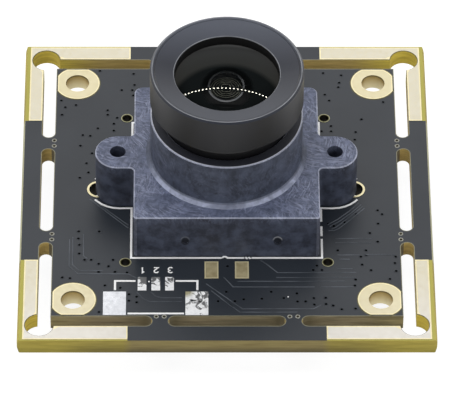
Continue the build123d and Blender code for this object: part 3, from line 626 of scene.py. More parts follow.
tracks = {
    # solder mask where it runs over raised copper: thinner on the edges, so a touch lighter
    "covered": {"colours": ("#3a3f46", "#555a62"), "roughness": 0.38, "grain": 2.0, "blend": (0.38, 0.62)},
    "width": 0.13,
    "rise": 0.03,
    "slope": 0.035,
    # a plated hole that is narrow and deep, so hardly any light comes back: near black, without shine
    "viaMouth": {"colours": ("#030304", "#0a0b0c"), "roughness": 0.8, "grain": 0.25, "detail": 2.0,
                 "sockets": {"Specular_IOR_Level": 0.05}},
    "viaR": 0.125,
    "viaRim": 0.22,
    "viaRise": 0.012,
    "lines": [
        [(-12.64, -1.24), (-9.02, -4.97)], [(-12.3, -1.36), (-9.02, -4.6)],
        [(-13.14, -5.74), (-13.1, -8.5), (-12.75, -8.85)],
        [(-14.1, -6.1), (-14.1, -9.6), (-13.5, -10.33), (-11.3, -10.33)],
        [(-14.4, -6.4), (-14.4, -9.8), (-13.6, -10.75), (-9.0, -10.75), (-8.2, -11.3)],
        [(-8.18, -13.06), (-7.62, -13.81), (-7.07, -14.19), (-4.1, -14.19)],
        [(-6.9, -13.0), (-6.5, -13.5), (-6.0, -13.72), (-4.1, -13.72)],
        [(12.26, -1.74), (11.38, -2.78), (10.3, -3.81), (9.33, -4.54)],
        [(12.5, -1.95), (11.48, -3.07), (10.55, -3.98), (9.5, -4.78)],
        [(12.62, -2.2), (11.3, -3.6), (10.2, -4.75), (9.7, -5.1)],
        [(12.8, -2.4), (11.4, -3.95), (10.35, -5.0), (9.9, -5.27), (9.42, -5.27)],
        [(10.0, -6.3), (13.4, -6.3)], [(10.0, -6.81), (13.3, -6.81)], [(12.73, -8.33), (15.47, -8.33)],
        [(10.3, -8.91), (11.3, -8.91)], [(10.17, -8.38), (12.2, -8.38)], [(10.1, -10.11), (11.5, -10.11)],
        [(-1.87, -11.98), (1.41, -15.09), (7.87, -15.09), (8.56, -14.63)],
        [(-1.42, -12.84), (1.18, -15.51), (6.39, -15.51)], [(-0.57, -13.77), (0.56, -14.86)],
        [(-0.27, -11.13), (0.58, -12.37), (8.03, -12.38)], [(8.6, -12.38), (11.56, -12.38)],
        [(0.98, -11.67), (10.78, -11.67)], [(3.06, -9.0), (3.63, -9.48), (4.64, -10.58), (11.84, -10.58)],
        [(4.52, -11.2), (11.82, -11.21)],
    ],
    "vias": [
        (-15.5, 11.7), (-14.1, 11.1), (-15.1, 10.8), (-15.4, 9.8), (-11.9, 15.7), (-8.7, 15.3), (-8.6, 13.8),
        (-9.8, 13.1), (-8.8, 13.1), (-8.7, 12.4), (-11.1, 10.4), (-11.1, 9.8), (-10.2, 9.4), (-10.5, 8.6),
        (-12.0, 8.0), (-10.5, 7.7), (-13.4, 7.1), (-12.7, 7.0), (-13.6, 5.7), (-12.5, 4.7), (-13.0, 3.4),
        (-12.8, 2.2), (-13.6, 1.5), (9.3, 15.4), (11.0, 15.1), (10.8, 14.1), (10.7, 13.5), (9.4, 12.5), (9.8, 11.7),
        (14.9, 11.5), (12.8, 9.2), (9.9, 8.3), (9.9, 7.6), (9.0, 7.6), (12.2, 7.5), (12.1, 6.5), (-13.6, -5.4),
        (-13.6, -6.3), (-13.5, -7.1), (-13.5, -8.2), (-13.0, -9.0), (-12.4, -9.0), (-11.7, -9.5), (-10.8, -9.8),
        (-10.4, -9.0), (-11.7, -10.5), (-10.2, -10.5), (-9.1, -10.6), (-15.0, -11.2), (-14.3, -11.3), (-11.1, -12.2),
        (-9.7, -12.5), (-8.2, -13.6), (-8.2, -14.3), (-11.6, -15.5), (-8.9, -13.3), (-8.9, -14.1), (14.0, -2.7),
        (14.4, -3.2), (12.0, -3.2), (14.0, -4.4), (10.9, -4.2), (9.9, -4.7), (9.4, -4.4), (13.2, -5.6), (13.9, -6.7),
        (12.8, -7.8), (12.8, -8.4), (12.3, -8.6), (10.2, -7.8), (15.5, -8.6), (15.4, -9.4),
        (15.5, -10.4), (12.4, -9.6), (13.2, -10.3), (8.25, -9.72), (7.9, -10.27), (8.7, -10.27), (11.76, -11.47),
        (11.68, -12.22), (14.9, -11.4), (0.08, -9.79), (-0.05, -13.0), (1.53, -13.93), (3.18, -13.85), (4.04, -13.0),
        (6.37, -13.19), (6.41, -14.19), (7.15, -14.19), (7.9, -13.78), (7.94, -14.58), (8.98, -13.74), (9.0, -14.52),
        (9.64, -14.71), (10.42, -15.17), (11.67, -15.09), (-0.8, -14.16), (0.73, -14.16),
    ],
    "ringedVias": [(-11.7, -5.4), (5.17, -13.77)],
    # laminate bared by the drill: pale grey, matt and rough
    "drilled": {"colours": ("#75746a", "#bab9ae"), "roughness": 0.7, "grain": 0.2, "dents": (0.3, 0.03)},
    "perforationRing": 0.235,
    "perforationHole": 0.14,
    "perforationPlace": (16.05, 6.05, 0.36),  # from the middle, along the side to the tab's, and either side of that
}
perforations = []
for side, tab, step in itertools.product((-1, 1), repeat=3):
    across, along, half = tracks["perforationPlace"]
    perforations.append((side * across, tab * along + step * half))
perforations += [(y, x) for x, y in perforations]


def screenPrintedInk(look):
    # Epoxy ink pushed through a screen: matt white, with slightly thin spots.
    material, add = newMaterial("screenPrintedInk", look["ink"], 0.0, 0.6)
    thin = add("MapRange", add("TexNoise", placeOn(add), 2.2, 4.0), 0.5, 0.75, 0.0, 0.2)
    add("Mix RGBA", thin, look["ink"], look["inkThin"], to="Base Color")
    add("Bump", Strength=0.15, Distance=look["thick"] * mm, Height=thin, to="Normal")
    return material


inkMaterial = screenPrintedInk(legend)
coveredMaterial = grained("inkOverCopper", tracks["covered"])
mouthMaterial = grained("shadedViaMouth", tracks["viaMouth"])

lines = bmesh.new()
inkFoot, inkTop = boardTop - legend["sunk"], boardTop + legend["thick"]
for points in legend["outline"]:
    layLine(lines, points, legend["width"], inkFoot, inkTop, slope=legend["slope"])
for x, y, radius in legend["dots"]:
    spinProfile(lines, [(radius, inkFoot), (radius * 0.9, inkTop), (0, inkTop)], 12, centre=(x, y))
for digit, middle in legend["padDigits"].items():
    for stroke in legend["digits"][digit]:
        # turned round, so that they read from the other side
        points = [(middle + legend["digitMiddle"] - x, legend["padDigitTop"] - y) for x, y in stroke]
        layLine(lines, points, legend["digitWidth"], inkFoot, inkTop, slope=legend["digitSlope"])
addPiece("printedLegend", lines, inkMaterial, "module")

covered = bmesh.new()
for points in tracks["lines"]:
    layLine(covered, points, tracks["width"], inkFoot, boardTop + tracks["rise"], slope=tracks["slope"])
rims = bmesh.new()
mouths = bmesh.new()


def layRim(shape, x, y, rim, face, up):
    # The covered ring of a via on either face, which rises a little from it
    viaR, crown = tracks["viaR"], face + up * tracks["viaRise"]
    profile = [(rim, face - up * 0.002), (rim - 0.04, crown), (viaR + 0.03, crown), (viaR, face + up * 0.006)]
    spinProfile(shape, profile, 14, centre=(x, y))


for spots, rim in ((tracks["vias"], tracks["viaRim"]), (tracks["ringedVias"], tracks["viaRim"] * 1.5)):
    for x, y in spots:
        layRim(rims, x, y, rim, boardTop, 1)
        spinProfile(mouths, [(tracks["viaR"], boardTop + 0.006), (tracks["viaR"] * 0.6, boardTop + 0.003),
                             (0, boardTop + 0.001)], 12, centre=(x, y))
addPiece("coveredTracks", covered, coveredMaterial, "module")
addPiece("viaRims", rims, boardMaterial, "module")
addPiece("viaMouths", mouths, mouthMaterial, "module")

# Small drilled holes of the tabs: bare laminate round each, dark inside
rimMaterial = grained("drilledLaminate", tracks["drilled"])
rims = bmesh.new()
for x, y in perforations:
    for face, lift in ((boardTop, 0.012), (0.0, -0.012)):
        spinProfile(rims, [(tracks["perforationRing"], face), (tracks["perforationRing"] - 0.03, face + lift),
                           (tracks["perforationHole"], face + lift), (tracks["perforationHole"] - 0.01, face)], 16,
                    centre=(x, y))
addPiece("perforationRims", rims, rimMaterial, "module")
print("legend, tracks and vias are laid")

# Lens holder
holderLook = {
    "wall": "#333744",
    "wallLight": "#535a6d",
    "tube": "#333845",
    "tubeLight": "#555c6f",
    # faces that look up are painted lighter than the walls, as painted light from above
    "top": "#6b738d",
    "topDark": "#3f4558",
    "scuff": "#9ca3be",
    # edge lines and the tube's foot band: wear with a painted highlight
    "edge": "#bcc1d6",
    "foot": "#b4bbd4",
    "rimLine": "#dde0ea",
    "rimFaceShadow": "#2b2d36",
    "scuffLength": 1.5,
    "scuffWidth": 0.17,  # coarser than the real hairlines, so they show
    "cloudSize": 1.1,
    "pit": 0.22,
    "pitDepth": 0.03,
    "roughness": (0.55, 0.42),  # clean and scuffed
    "baseTop": 6.6,
    "tubeR": 7.0,
    "tubeTop": 11.6,
    "side": 8.5,
    "gateShade": "#12141a",
    "gateLipHighlight": "#b7b9bd",
    "gateSquash": (1.0, 0.3, 0.74),  # flat on the wall and taller than wide
    "scuffTurns": ((12, 0), (101, 20), (52, -30)),  # degrees along and out of the top
    "gates": (((-3.8, -8.5, 3.55), 0.42, 0.18), ((4.65, -8.5, 3.55), 0.42, 0.6)),
}


def mouldedGlassFilledNylon(look):
    # Injection moulded nylon with glass fibre: dull and cloudy. Handling leaves pale fine strokes on whatever faces
    # up and rubs every edge to a light line, which is a painted highlight too. Faces that look up are painted lighter
    # still, as painted light from above.
    material, add = newMaterial("mouldedGlassFilledNylon", look["wall"], 0.0, 0.5)
    where = placeOn(add)
    x, y, z = add("SeparateXYZ", where, out="all")
    nz = add("SeparateXYZ", add("TexCoord", out="Normal"), out="Z")
    radius = add("VectorMath LENGTH", add("VectorMath MULTIPLY", where, (1.0, 1.0, 0.0)))
    cloud = add("TexNoise", where, 1 / look["cloudSize"], 5.0, Roughness=0.6)
    cloud = add("MapRange", cloud, 0.36, 0.64)
    # pale strokes in three directions, bent by a slow swirl
    swirl = add("VectorMath SCALE", add("TexNoise", where, 0.3, 1.0, out="Color"), 1.5)
    bent = add("VectorMath ADD", where, swirl)
    scuffScale = (1 / look["scuffLength"], 1 / look["scuffWidth"], 1 / look["scuffWidth"] / 3)
    strokes = None
    for angle, tilt in look["scuffTurns"]:
        turned = add("Mapping", bent, Rotation=(math.radians(tilt), 0.0, math.radians(angle)))
        stroke = add("TexNoise", add("Mapping", turned, Scale=scuffScale), 1.0, 4.0, Distortion=0.9)
        spread = add("TexNoise", add("Mapping", where, Location=(angle, angle, angle)), 0.42, 2.0)
        stroke = add("Math MULTIPLY", add("MapRange", stroke, 0.5, 0.68), add("MapRange", spread, 0.42, 0.6))
        strokes = stroke if strokes is None else add("Math MAXIMUM", strokes, stroke)
    mottle = add("MapRange", add("TexNoise", bent, 2.6, 3.0, Distortion=0.8), 0.4, 0.6)
    mottle = add("Math MULTIPLY", add("Math ADD", mottle, cloud), 0.5)
    top = add("Mix RGBA", mottle, look["topDark"], look["top"])
    top = add("Mix RGBA", add("Math MULTIPLY", strokes, 0.7), top, look["scuff"])
    wall = add("Mix RGBA", cloud, look["wall"], look["wallLight"])
    # walls are scuffed lighter just under their top edge
    underEdge = add("MapRange", z, look["baseTop"] - 1.0, look["baseTop"] - 0.1, 0.0, 0.45)
    underEdge = add("Math MULTIPLY", underEdge, strokes)
    wall = add("Mix RGBA", underEdge, wall, look["scuff"])
    tube = add("Mix RGBA", cloud, look["tube"], look["tubeLight"])
    tube = add("Mix RGBA", add("Math MULTIPLY", strokes, 0.14), tube, look["scuff"])
    onTube = add("Math GREATER_THAN", z, look["baseTop"] + 0.05)
    wall = add("Mix RGBA", onTube, wall, tube)
    # faces that look up take the top colours: painted light from above, with pale scuff strokes
    upwardPaintedLight = add("MapRange", nz, 0.8, 0.95)
    colour = add("Mix RGBA", upwardPaintedLight, wall, top)
    # the tube's flat end is painted dark as the lens head's shadow and stays clean, with a thin worn line that is
    # also a painted highlight, brightest at both sides
    onEnd = add("Math GREATER_THAN", z, look["tubeTop"] - 0.03)
    endRubAndHighlight = add("MapRange", radius, look["tubeR"] - 0.17, look["tubeR"] - 0.12)
    aside = add("Math ABSOLUTE", x)
    rimShine = add("MapRange", aside, 1.0, 3.5, 0.55, 1.0)
    rim = add("Mix RGBA", rimShine, colour, look["rimLine"])
    end = add("Mix RGBA", endRubAndHighlight, look["rimFaceShadow"], rim)
    colour = add("Mix RGBA", onEnd, colour, end)
    # every bevel is worn to a light line, and so are the upright corners at the front; these lines are painted
    # highlights too
    bevel = add("Math COMPARE", nz, 0.7, 0.17)
    nearSide = add("Math GREATER_THAN", aside, look["side"] - 0.3)
    nearFront = add("Math LESS_THAN", y, 0.3 - look["side"])
    corner = add("Math MULTIPLY", add("Math MULTIPLY", nearSide, nearFront), 0.22)
    rubbedAndHighlit = add("MapRange", strokes, 0.0, 0.6, 0.55, 0.95)
    edges = add("Math MULTIPLY", add("Math MAXIMUM", bevel, corner), rubbedAndHighlit)
    # the tube's foot is a pale band of wear and painted highlight, dimmer in the middle, with painted shade at the
    # sides
    onFoot = add("Math LESS_THAN", radius, look["tubeR"] + 0.5)
    lowFoot = add("Math LESS_THAN", z, look["tubeTop"] - 1.0)
    onFoot = add("Math MULTIPLY", onFoot, lowFoot)
    edges = add("Math MULTIPLY", edges, add("MapRange", onFoot, 0, 1, 1.0, 0.0))
    colour = add("Mix RGBA", edges, colour, look["edge"])
    footWearAndHighlight = add("MapRange", add("TexNoise", where, 1.3, 4.0, Distortion=0.6), 0.35, 0.6, 0.5, 1.0)
    for along, *fade in ((radius, look["tubeR"] + 0.08, look["tubeR"] + 0.16, 0.25, 1.0), (aside, 0.6, 2.2, 0.4, 1.0),
                         (y, -1.5, -4.0, 0.1, 1.0)):
        footWearAndHighlight = add("Math MULTIPLY", footWearAndHighlight, add("MapRange", along, *fade))
    foot = add("Mix RGBA", footWearAndHighlight, tube, look["foot"])
    colour = add("Mix RGBA", add("Math MULTIPLY", bevel, onFoot), colour, foot)
    # two gate marks in the front wall: painted shade inside each dimple, below a painted highlight on its lip
    for place, size, strength in look["gates"]:
        fromGate = add("VectorMath SUBTRACT", where, place)
        fromGate = add("VectorMath MULTIPLY", fromGate, look["gateSquash"])
        gateDistance = add("VectorMath LENGTH", fromGate)
        gateHeight = add("SeparateXYZ", fromGate, out="Z")
        inside = add("MapRange", gateDistance, size, size * 0.7, 0.0, 0.8)
        colour = add("Mix RGBA", inside, colour, look["gateShade"])
        lip = add("Math COMPARE", gateDistance, size, 0.06)
        lip = add("Math MULTIPLY", add("Math MULTIPLY", lip, add("MapRange", gateHeight, 0.05, 0.25)), strength)
        colour = add("Mix RGBA", lip, colour, look["gateLipHighlight"], to="Base Color")
    add("MapRange", strokes, 0.0, 0.8, *look["roughness"], to="Roughness")
    pits = add("TexNoise", where, 1 / look["pit"], 3.0)
    relief = add("Math ADD", pits, add("Math MULTIPLY", strokes, 0.6))
    add("Bump", Strength=0.3, Distance=look["pitDepth"] * mm, Height=relief, to="Normal")
    return material


finish(mouldedGlassFilledNylon(holderLook), "lens_holder")
print("holder is finished")

# Lens
lensLook = {
    "side": "#18191e",
    "sideLowShade": "#101115",
    "face": "#2b2e38",
    "faceFront": "#353944",
    "faceBackGlare": "#575b66",
    "rubbedAndHighlit": "#8f9298",
    "neck": "#0c0c0e",
    "bore": "#060607",
    "headR": 7.0,
    "rimHeight": 17.25,
    "mouthHeight": 16.7,
    "mouthR": 4.8,
    "headLow": 13.4,
    "lighterFront": (-1.5, -5.5),
    "backGlare": (1.0, 6.0),
    "turnPitch": 0.15,  # the tool's rings, coarser than the real ones so they show
    "turnDepth": 0.01,
    "roughness": (0.38, 0.7),  # outside and in the mouth
    "glass": "#050506",
    "glassAlpha": 0.3,
    "innerAlpha": 0.12,
    "clearPlace": (0.0, -1.6, 0.0),  # the glass is black behind its mirror except over the small window
    "clearR": 2.45,
    "rowArc": (-1.855, -0.062, -0.022),  # the arc where the small lights show: place, slope and bend
    "rowArcHalf": 0.2,
    "coatTint": "#fbf4df",
    "coatMirror": (0.2, 0.025),  # how strong it is from above and from low down
    "glassTints": ("#1b1f20", "#232829"),
    "tintSize": 2.5,
    # black lacquer brushed on the glass's ground edge and rear flat: deep and dull
    "lacquer": {"colours": ("#030304", "#09090b"), "roughness": 0.65, "grain": 1 / 0.9},
    # ground, unpolished glass: fine white frosting, painted brighter as a highlight, that shows as a thin ring
    "groundRingAndHighlight": {"colours": ("#b9bcbf", "#8d9093"), "roughness": 0.55, "grain": 0.4},
    # the same further down, dulled and greened by the glasses over it, its pale rings painted highlights too
    "groundStep": {"colours": ("#a3a597", "#6e705f"), "roughness": 0.55, "grain": 0.4},
}


def blackAnodisedAluminium(look):
    # Turned aluminium, etched, dyed black and sealed: satin, with fine rings left by the tool, its face painted
    # greyer as painted light from above and worn to bare metal in thin lines at its rim and mouth, painted highlights
    # too.
    material, add = newMaterial("blackAnodisedAluminium", look["side"], 0.0, 0.4)
    where = placeOn(add)
    _, y, z = add("SeparateXYZ", where, out="all")
    nz = add("SeparateXYZ", add("TexCoord", out="Normal"), out="Z")
    radius = add("VectorMath LENGTH", add("VectorMath MULTIPLY", where, (1.0, 1.0, 0.0)))
    # painted shade: the side darkens towards the bottom
    height = add("MapRange", z, look["headLow"], look["rimHeight"])
    side = add("Mix RGBA", height, look["sideLowShade"], look["side"])
    # the face is a little lighter at the front, and painted lighter at the back as a painted reflection of the back
    # lamp
    lighterFront = add("MapRange", y, *look["lighterFront"])
    backGlare = add("MapRange", y, *look["backGlare"])
    face = add("Mix RGBA", lighterFront, look["face"], look["faceFront"])
    face = add("Mix RGBA", backGlare, face, look["faceBackGlare"])
    upwardPaintedLight = add("MapRange", nz, 0.5, 0.8)
    colour = add("Mix RGBA", upwardPaintedLight, side, face)
    # thin worn lines at the rim and at the mouth, painted highlights too
    rimLine = add("Math COMPARE", radius, look["headR"] - 0.2, 0.05)
    mouthLine = add("Math COMPARE", radius, look["mouthR"] + 0.035, 0.04)
    lines = add("Math MAXIMUM", rimLine, mouthLine)
    high = add("Math GREATER_THAN", z, look["mouthHeight"] - 0.12)
    lines = add("Math MULTIPLY", lines, high)
    wear = add("MapRange", add("TexNoise", where, 0.5, 4.0), 0.35, 0.6, 0.35, 0.9)
    lines = add("Math MULTIPLY", lines, wear)
    colour = add("Mix RGBA", lines, colour, look["rubbedAndHighlit"])
    # nothing inside the mouth or below the head catches light
    inBore = add("Math LESS_THAN", radius, look["mouthR"] + 0.01)
    colour = add("Mix RGBA", inBore, colour, look["bore"])
    below = add("MapRange", z, look["headLow"] + 0.1, look["headLow"] - 0.1)
    add("Mix RGBA", below, colour, look["neck"], to="Base Color")
    wave = add("Math MULTIPLY", add("Math ADD", radius, z), 2 * math.pi / look["turnPitch"])
    wave = add("Math SINE", wave)
    add("MapRange", inBore, 0, 1, *look["roughness"], to="Roughness")
    add("Bump", Strength=0.1, Distance=look["turnDepth"] * mm, Height=wave, to="Normal")
    return material


def coatedGlass(name, look, alpha, window=False):
    # Ground, polished and coated optical glass: almost no colour, a weak warm mirror that the coating keeps weak at
    # low angles too, dark where nothing is lit behind it.
    material, add = newMaterial(name, look["glass"], 0.0, 0.0, IOR=1.5, Alpha=alpha,
                                Specular_Tint=linear(look["coatTint"]))
    coat = add("TexNoise", placeOn(add), 1 / look["tintSize"], 1.0)
    add("Mix RGBA", coat, *look["glassTints"], to="Base Color")
    slant = add("LayerWeight", 0.5, out="Facing")
    add("MapRange", slant, 0.28, 0.6, *look["coatMirror"], to="Specular IOR Level")
    if window:
        # this part stays where it is while the lens turns, as the lights that it mirrors do
        where = add("VectorMath SCALE", add("NewGeometry", out="Position"), 1 / mm)
        flat = add("VectorMath MULTIPLY", where, (1.0, 1.0, 0.0))
        fromWindow = add("VectorMath DISTANCE", flat, look["clearPlace"])
        closed = add("MapRange", fromWindow, look["clearR"] - 0.3, look["clearR"], alpha, 1.0)
        x, y, _ = add("SeparateXYZ", where, out="all")
        arc = add("Math MULTIPLY_ADD", x, look["rowArc"][2], look["rowArc"][1])
        arc = add("Math MULTIPLY_ADD", x, arc, look["rowArc"][0])
        onArc = add("Math COMPARE", y, arc, look["rowArcHalf"])
        add("Math MAXIMUM", closed, onArc, to="Alpha")
    return material


anodisedMaterial = blackAnodisedAluminium(lensLook)
frontGlassMaterial = coatedGlass("coatedFrontGlass", lensLook, lensLook["glassAlpha"], window=True)
innerGlassMaterial = coatedGlass("coatedInnerGlass", lensLook, lensLook["innerAlpha"])
lacquerMaterial = grained("lensEdgeLacquer", lensLook["lacquer"])
ringGlassMaterial = grained("groundChamfer", lensLook["groundRingAndHighlight"])
faintGlassMaterial = grained("groundStep", lensLook["groundStep"])
finish(anodisedMaterial, "lens_barrel", "front_retaining_ring", "front_spacer", "middle_spacer", "rear_spacer",
       "rear_retaining_ring")
innerGlasses = ("second_element", "third_element", "doublet_front", "doublet_rear")
finish(innerGlassMaterial, *innerGlasses)

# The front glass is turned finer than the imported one, so that it mirrors without facets
frontGlass = {
    "radius": 5.55,
    "rear": 15.15,
    "edge": 0.55,
    "domeR": 4.8,
    "domeRise": 1.1,
    "hollowR": 1.75,
    "hollowRise": 1.0,
    "chamfer": 0.13,
    "lip": 0.03,
    "hollowSteps": 12,
    "steps": 28,
    "sides": 160,
}
shape = bmesh.new()
seat = frontGlass["rear"] + frontGlass["edge"]
domeBall = (frontGlass["domeR"] ** 2 + frontGlass["domeRise"] ** 2) / 2 / frontGlass["domeRise"]
profile = [(0.0, seat + frontGlass["domeRise"])]
for step in range(1, frontGlass["steps"] + 1):
    radius = frontGlass["domeR"] * step / frontGlass["steps"]
    profile.append((radius, seat + frontGlass["domeRise"] - domeBall + math.sqrt(domeBall ** 2 - radius ** 2)))
polished = len(profile) - 1
profile += [(frontGlass["radius"], seat), (frontGlass["radius"], frontGlass["rear"]),
            (frontGlass["hollowR"] + frontGlass["chamfer"], frontGlass["rear"]),
            (frontGlass["hollowR"], frontGlass["rear"] + frontGlass["lip"])]
hollowBall = (frontGlass["hollowR"] ** 2 + frontGlass["hollowRise"] ** 2) / 2 / frontGlass["hollowRise"]
for step in range(1, frontGlass["hollowSteps"] + 1):
    radius = frontGlass["hollowR"] * (1 - step / frontGlass["hollowSteps"])
    rise = frontGlass["hollowRise"] - hollowBall + math.sqrt(hollowBall ** 2 - radius ** 2)
    profile.append((radius, frontGlass["rear"] + max(rise, frontGlass["lip"])))
steps = [0] * polished + [1] * 4 + [2] * frontGlass["hollowSteps"]  # polished dome, inked edge, polished hollow
spinProfile(shape, profile, frontGlass["sides"], materialSteps=steps)
glassPiece = addPiece("frontGlass", shape, [frontGlassMaterial, lacquerMaterial, innerGlassMaterial], "lens",
                      smooth=True)
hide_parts("front_element")
for glass in [glassPiece] + [nodes[name] for name in innerGlasses]:
    unlitGlass.objects.link(glass)
for link in unlitGlass.collection_objects:
    link.light_linking.link_state = "EXCLUDE"
for name in ("front_retaining_ring", "lens_barrel"):
    nodes[name].visible_glossy = False  # the dome mirrors the white wall right up to its rim
mirroring = bpy.data.collections.new("mirroring")
mirroring.objects.link(glassPiece)
lightRow.light_linking.receiver_collection = mirroring

# Ground steps and the stop's blades, seen in the small window behind the front glass
innerRings = {
    "chamfer": (1.6, 0.17),
    "chamferLength": 1.2,  # drawn long, as the dome's bulge shows it
    "chamferMiddle": (-0.06, -0.17),
    "chamferHeight": 15.2,
    "centreHeight": 15.06,
    "bladesHeight": 15.12,
    "stepUp": 0.02,
    "crest": 0.012,
    "rings": ((1.36, 0.06), (1.14, 0.07), (0.93, 0.06)),
    "blades": ((0.78, 0.07), (0.52, 0.08)),
    "middle": (-0.08, -0.3),  # where the dome's bulge shows them
    "bladeCount": 6,
}
steps = bmesh.new()
for group, base, sides in (("rings", "centreHeight", 64), ("blades", "bladesHeight", innerRings["bladeCount"])):
    for step, (radius, width) in enumerate(innerRings[group]):
        height = innerRings[base] + innerRings["stepUp"] * step
        crest = (radius + width / 2, height + innerRings["crest"])
        spinProfile(steps, [(radius + width, height), crest, (radius, height)], sides, centre=innerRings["middle"])
addPiece("groundSteps", steps, faintGlassMaterial, "lens")
chamfer = bmesh.new()
radius, width = innerRings["chamfer"]
spinProfile(chamfer, [(radius + width / 2, 0.0), (radius, 0.025), (radius - width / 2, 0.0)], 96)
bmesh.ops.scale(chamfer, vec=(1.0, innerRings["chamferLength"], 1.0), verts=chamfer.verts)
bmesh.ops.translate(chamfer, vec=(*innerRings["chamferMiddle"], innerRings["chamferHeight"]), verts=chamfer.verts)
addPiece("secondGlassChamfer", chamfer, ringGlassMaterial, "lens")

# Fine thread in the gap between head and holder
neckThread = {"root": 5.86, "crest": 5.985, "pitch": 0.5, "low": 11.75, "high": 13.3, "sides": 72}
thread = bmesh.new()
turns = (neckThread["high"] - neckThread["low"] - neckThread["pitch"]) / neckThread["pitch"]
previous = None
for k in range(int(turns * neckThread["sides"]) + 1):
    turn = 2 * math.pi * k / neckThread["sides"]
    lift = neckThread["low"] + neckThread["pitch"] * k / neckThread["sides"]
    row = [thread.verts.new((radius * math.cos(turn), radius * math.sin(turn), lift + rise * neckThread["pitch"]))
           for radius, rise in ((neckThread["root"], 0.0), (neckThread["crest"], 0.42), (neckThread["crest"], 0.58),
                                (neckThread["root"], 1.0))]
    if previous:
        for a in range(3):
            thread.faces.new((previous[a], previous[a + 1], row[a + 1], row[a]))
    previous = row
addPiece("neckThread", thread, anodisedMaterial, "lens")
print("lens is finished")

# Parts under the board and behind the web
smallParts = {
    # two colours, metallic, roughness, grain in millimetres and nodes
    "blackenedSteel": ("#2b2b2d", "#454549", 0.9, 0.38, 0.3, "holder_screws"),
    "coatedFilterGlass": ("#9fc4cf", "#86b2c2", 0.0, 0.05, 4.0, "filter_glass"),
    "firedAlumina": ("#57524c", "#3f3b37", 0.0, 0.6, 0.2, "sensor_package", "crystal_base"),
    "polishedSilicon": ("#39424d", "#47414f", 0.6, 0.15, 1.5, "sensor_die"),
    "coverGlass": ("#cfe0e2", "#c2d6da", 0.0, 0.03, 4.0, "sensor_glass"),
    "mouldedEpoxy": ("#222224", "#313134", 0.0, 0.6, 0.18, "processor", "flash_memory", "regulators",
                     "surge_protector"),
    "nickelPlatedLid": ("#b9b7b0", "#a3a19a", 0.9, 0.3, 0.6, "crystal_lid"),
    "firedTitanate": ("#a98a63", "#8d7150", 0.0, 0.5, 0.3, "capacitor_bodies"),
    "glazedResistor": ("#18181a", "#26262a", 0.0, 0.22, 0.5, "resistor_bodies"),
    "pressedFerrite": ("#3d3c3c", "#2f2e2f", 0.0, 0.55, 0.2, "ferrite_bead_bodies"),
    "mouldedNylon": ("#e4dcc4", "#d6cdb2", 0.0, 0.42, 0.9, "socket_housing"),
    "blackenedFoil": ("#111112", "#1b1b1d", 0.3, 0.6, 0.4, "aperture_stop"),
}
for common, (colour, second, metallic, roughness, grain, *names) in smallParts.items():
    # Fine grain of each: grit of moulded and fired bodies, rolling and plating of metals, faint tint of coatings
    look = {"colours": (colour, second), "metallic": metallic, "roughness": roughness, "grain": grain, "detail": 4.0,
            "blend": (0.35, 0.65), "gloss": (0.3, 0.7, roughness * 0.85, roughness * 1.15), "dents": (0.2, 0.02)}
    finish(grained(common, look), *names)


def islandBoxes(name, deep):
    # Flat boxes in millimetres of a node's separate solids, from their points within the depth below the board
    mesh = nodes[name].data
    keys = [tuple(round(c * 1e6) for c in vertex.co) for vertex in mesh.vertices]
    parent = {key: key for key in keys}

    def root(key):
        while parent[key] != key:
            parent[key] = parent[parent[key]]
            key = parent[key]
        return key

    for face in mesh.polygons:
        joined = [root(keys[index]) for index in face.vertices]
        for other in joined[1:]:
            parent[root(other)] = root(joined[0])
    groups = {}
    for key in parent:
        if key[2] / 1000 > -deep:
            groups.setdefault(root(key), []).append(key)
    boxes = []
    for points in groups.values():
        xs, ys = [p[0] / 1000 for p in points], [p[1] / 1000 for p in points]
        boxes.append((min(xs), min(ys), max(xs), max(ys)))
    return sorted(boxes)


# Solder: a shaped fillet on each pad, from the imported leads' own feet
solderLook = {
    "margin": 0.16,
    "fineMargin": 0.06,  # between the processor's close leads
    "footDepth": 0.12,  # how far below the board a lead's foot reaches
    "corner": 0.12,
    "joints": {"processor_leads": 0.16, "flash_leads": 0.2, "regulator_leads": 0.2, "surge_protector_leads": 0.2,
               "capacitor_ends": 0.24, "resistor_ends": 0.2, "ferrite_bead_ends": 0.24, "socket_pins": 0.22,
               "socket_anchors": 0.3},
    # solder melted and set without touching: bright, smooth and rounded, a little grained as it froze
    "finish": {"colours": ("#d3d6da", "#a2a5aa"), "metallic": 0.85, "roughness": 0.28, "pattern": "TexVoronoi",
               "grain": 1 / 6, "detail": 0.0, "dents": (0.25, 0.03)},
}
fillets = bmesh.new()
feet = []
for name, rise in solderLook["joints"].items():
    grow = solderLook["fineMargin"] if name == "processor_leads" else solderLook["margin"]
    profile = ((grow, 0.0), (grow * 0.92, -0.03), (grow * 0.45, -rise * 0.55), (0.015, -rise))
    for x0, y0, x1, y1 in islandBoxes(name, solderLook["footDepth"]):
        feet.append((x0, y0, x1, y1))
        rows = []
        for out, height in profile:
            corner = min(solderLook["corner"], out + 0.02)
            ring = []
            left, low, right, high = x0 - out + corner, y0 - out + corner, x1 + out - corner, y1 + out - corner
            for cx, cy, start in ((right, high, 0), (left, high, 90), (left, low, 180), (right, low, 270)):
                for turn in (0, 45, 90):
                    angle = math.radians(start + turn)
                    ring.append(fillets.verts.new((cx + corner * math.cos(angle), cy + corner * math.sin(angle),
                                                   height)))
            rows.append(ring)
        for a, b in zip(rows, rows[1:]):
            for k in range(len(a)):
                fillets.faces.new((a[k], a[(k + 1) % len(a)], b[(k + 1) % len(a)], b[k]))
        fillets.faces.new(rows[-1])
solderMaterial = grained("reflowedSolder", solderLook["finish"])
addPiece("solderFillets", fillets, solderMaterial, "module", smooth=True)

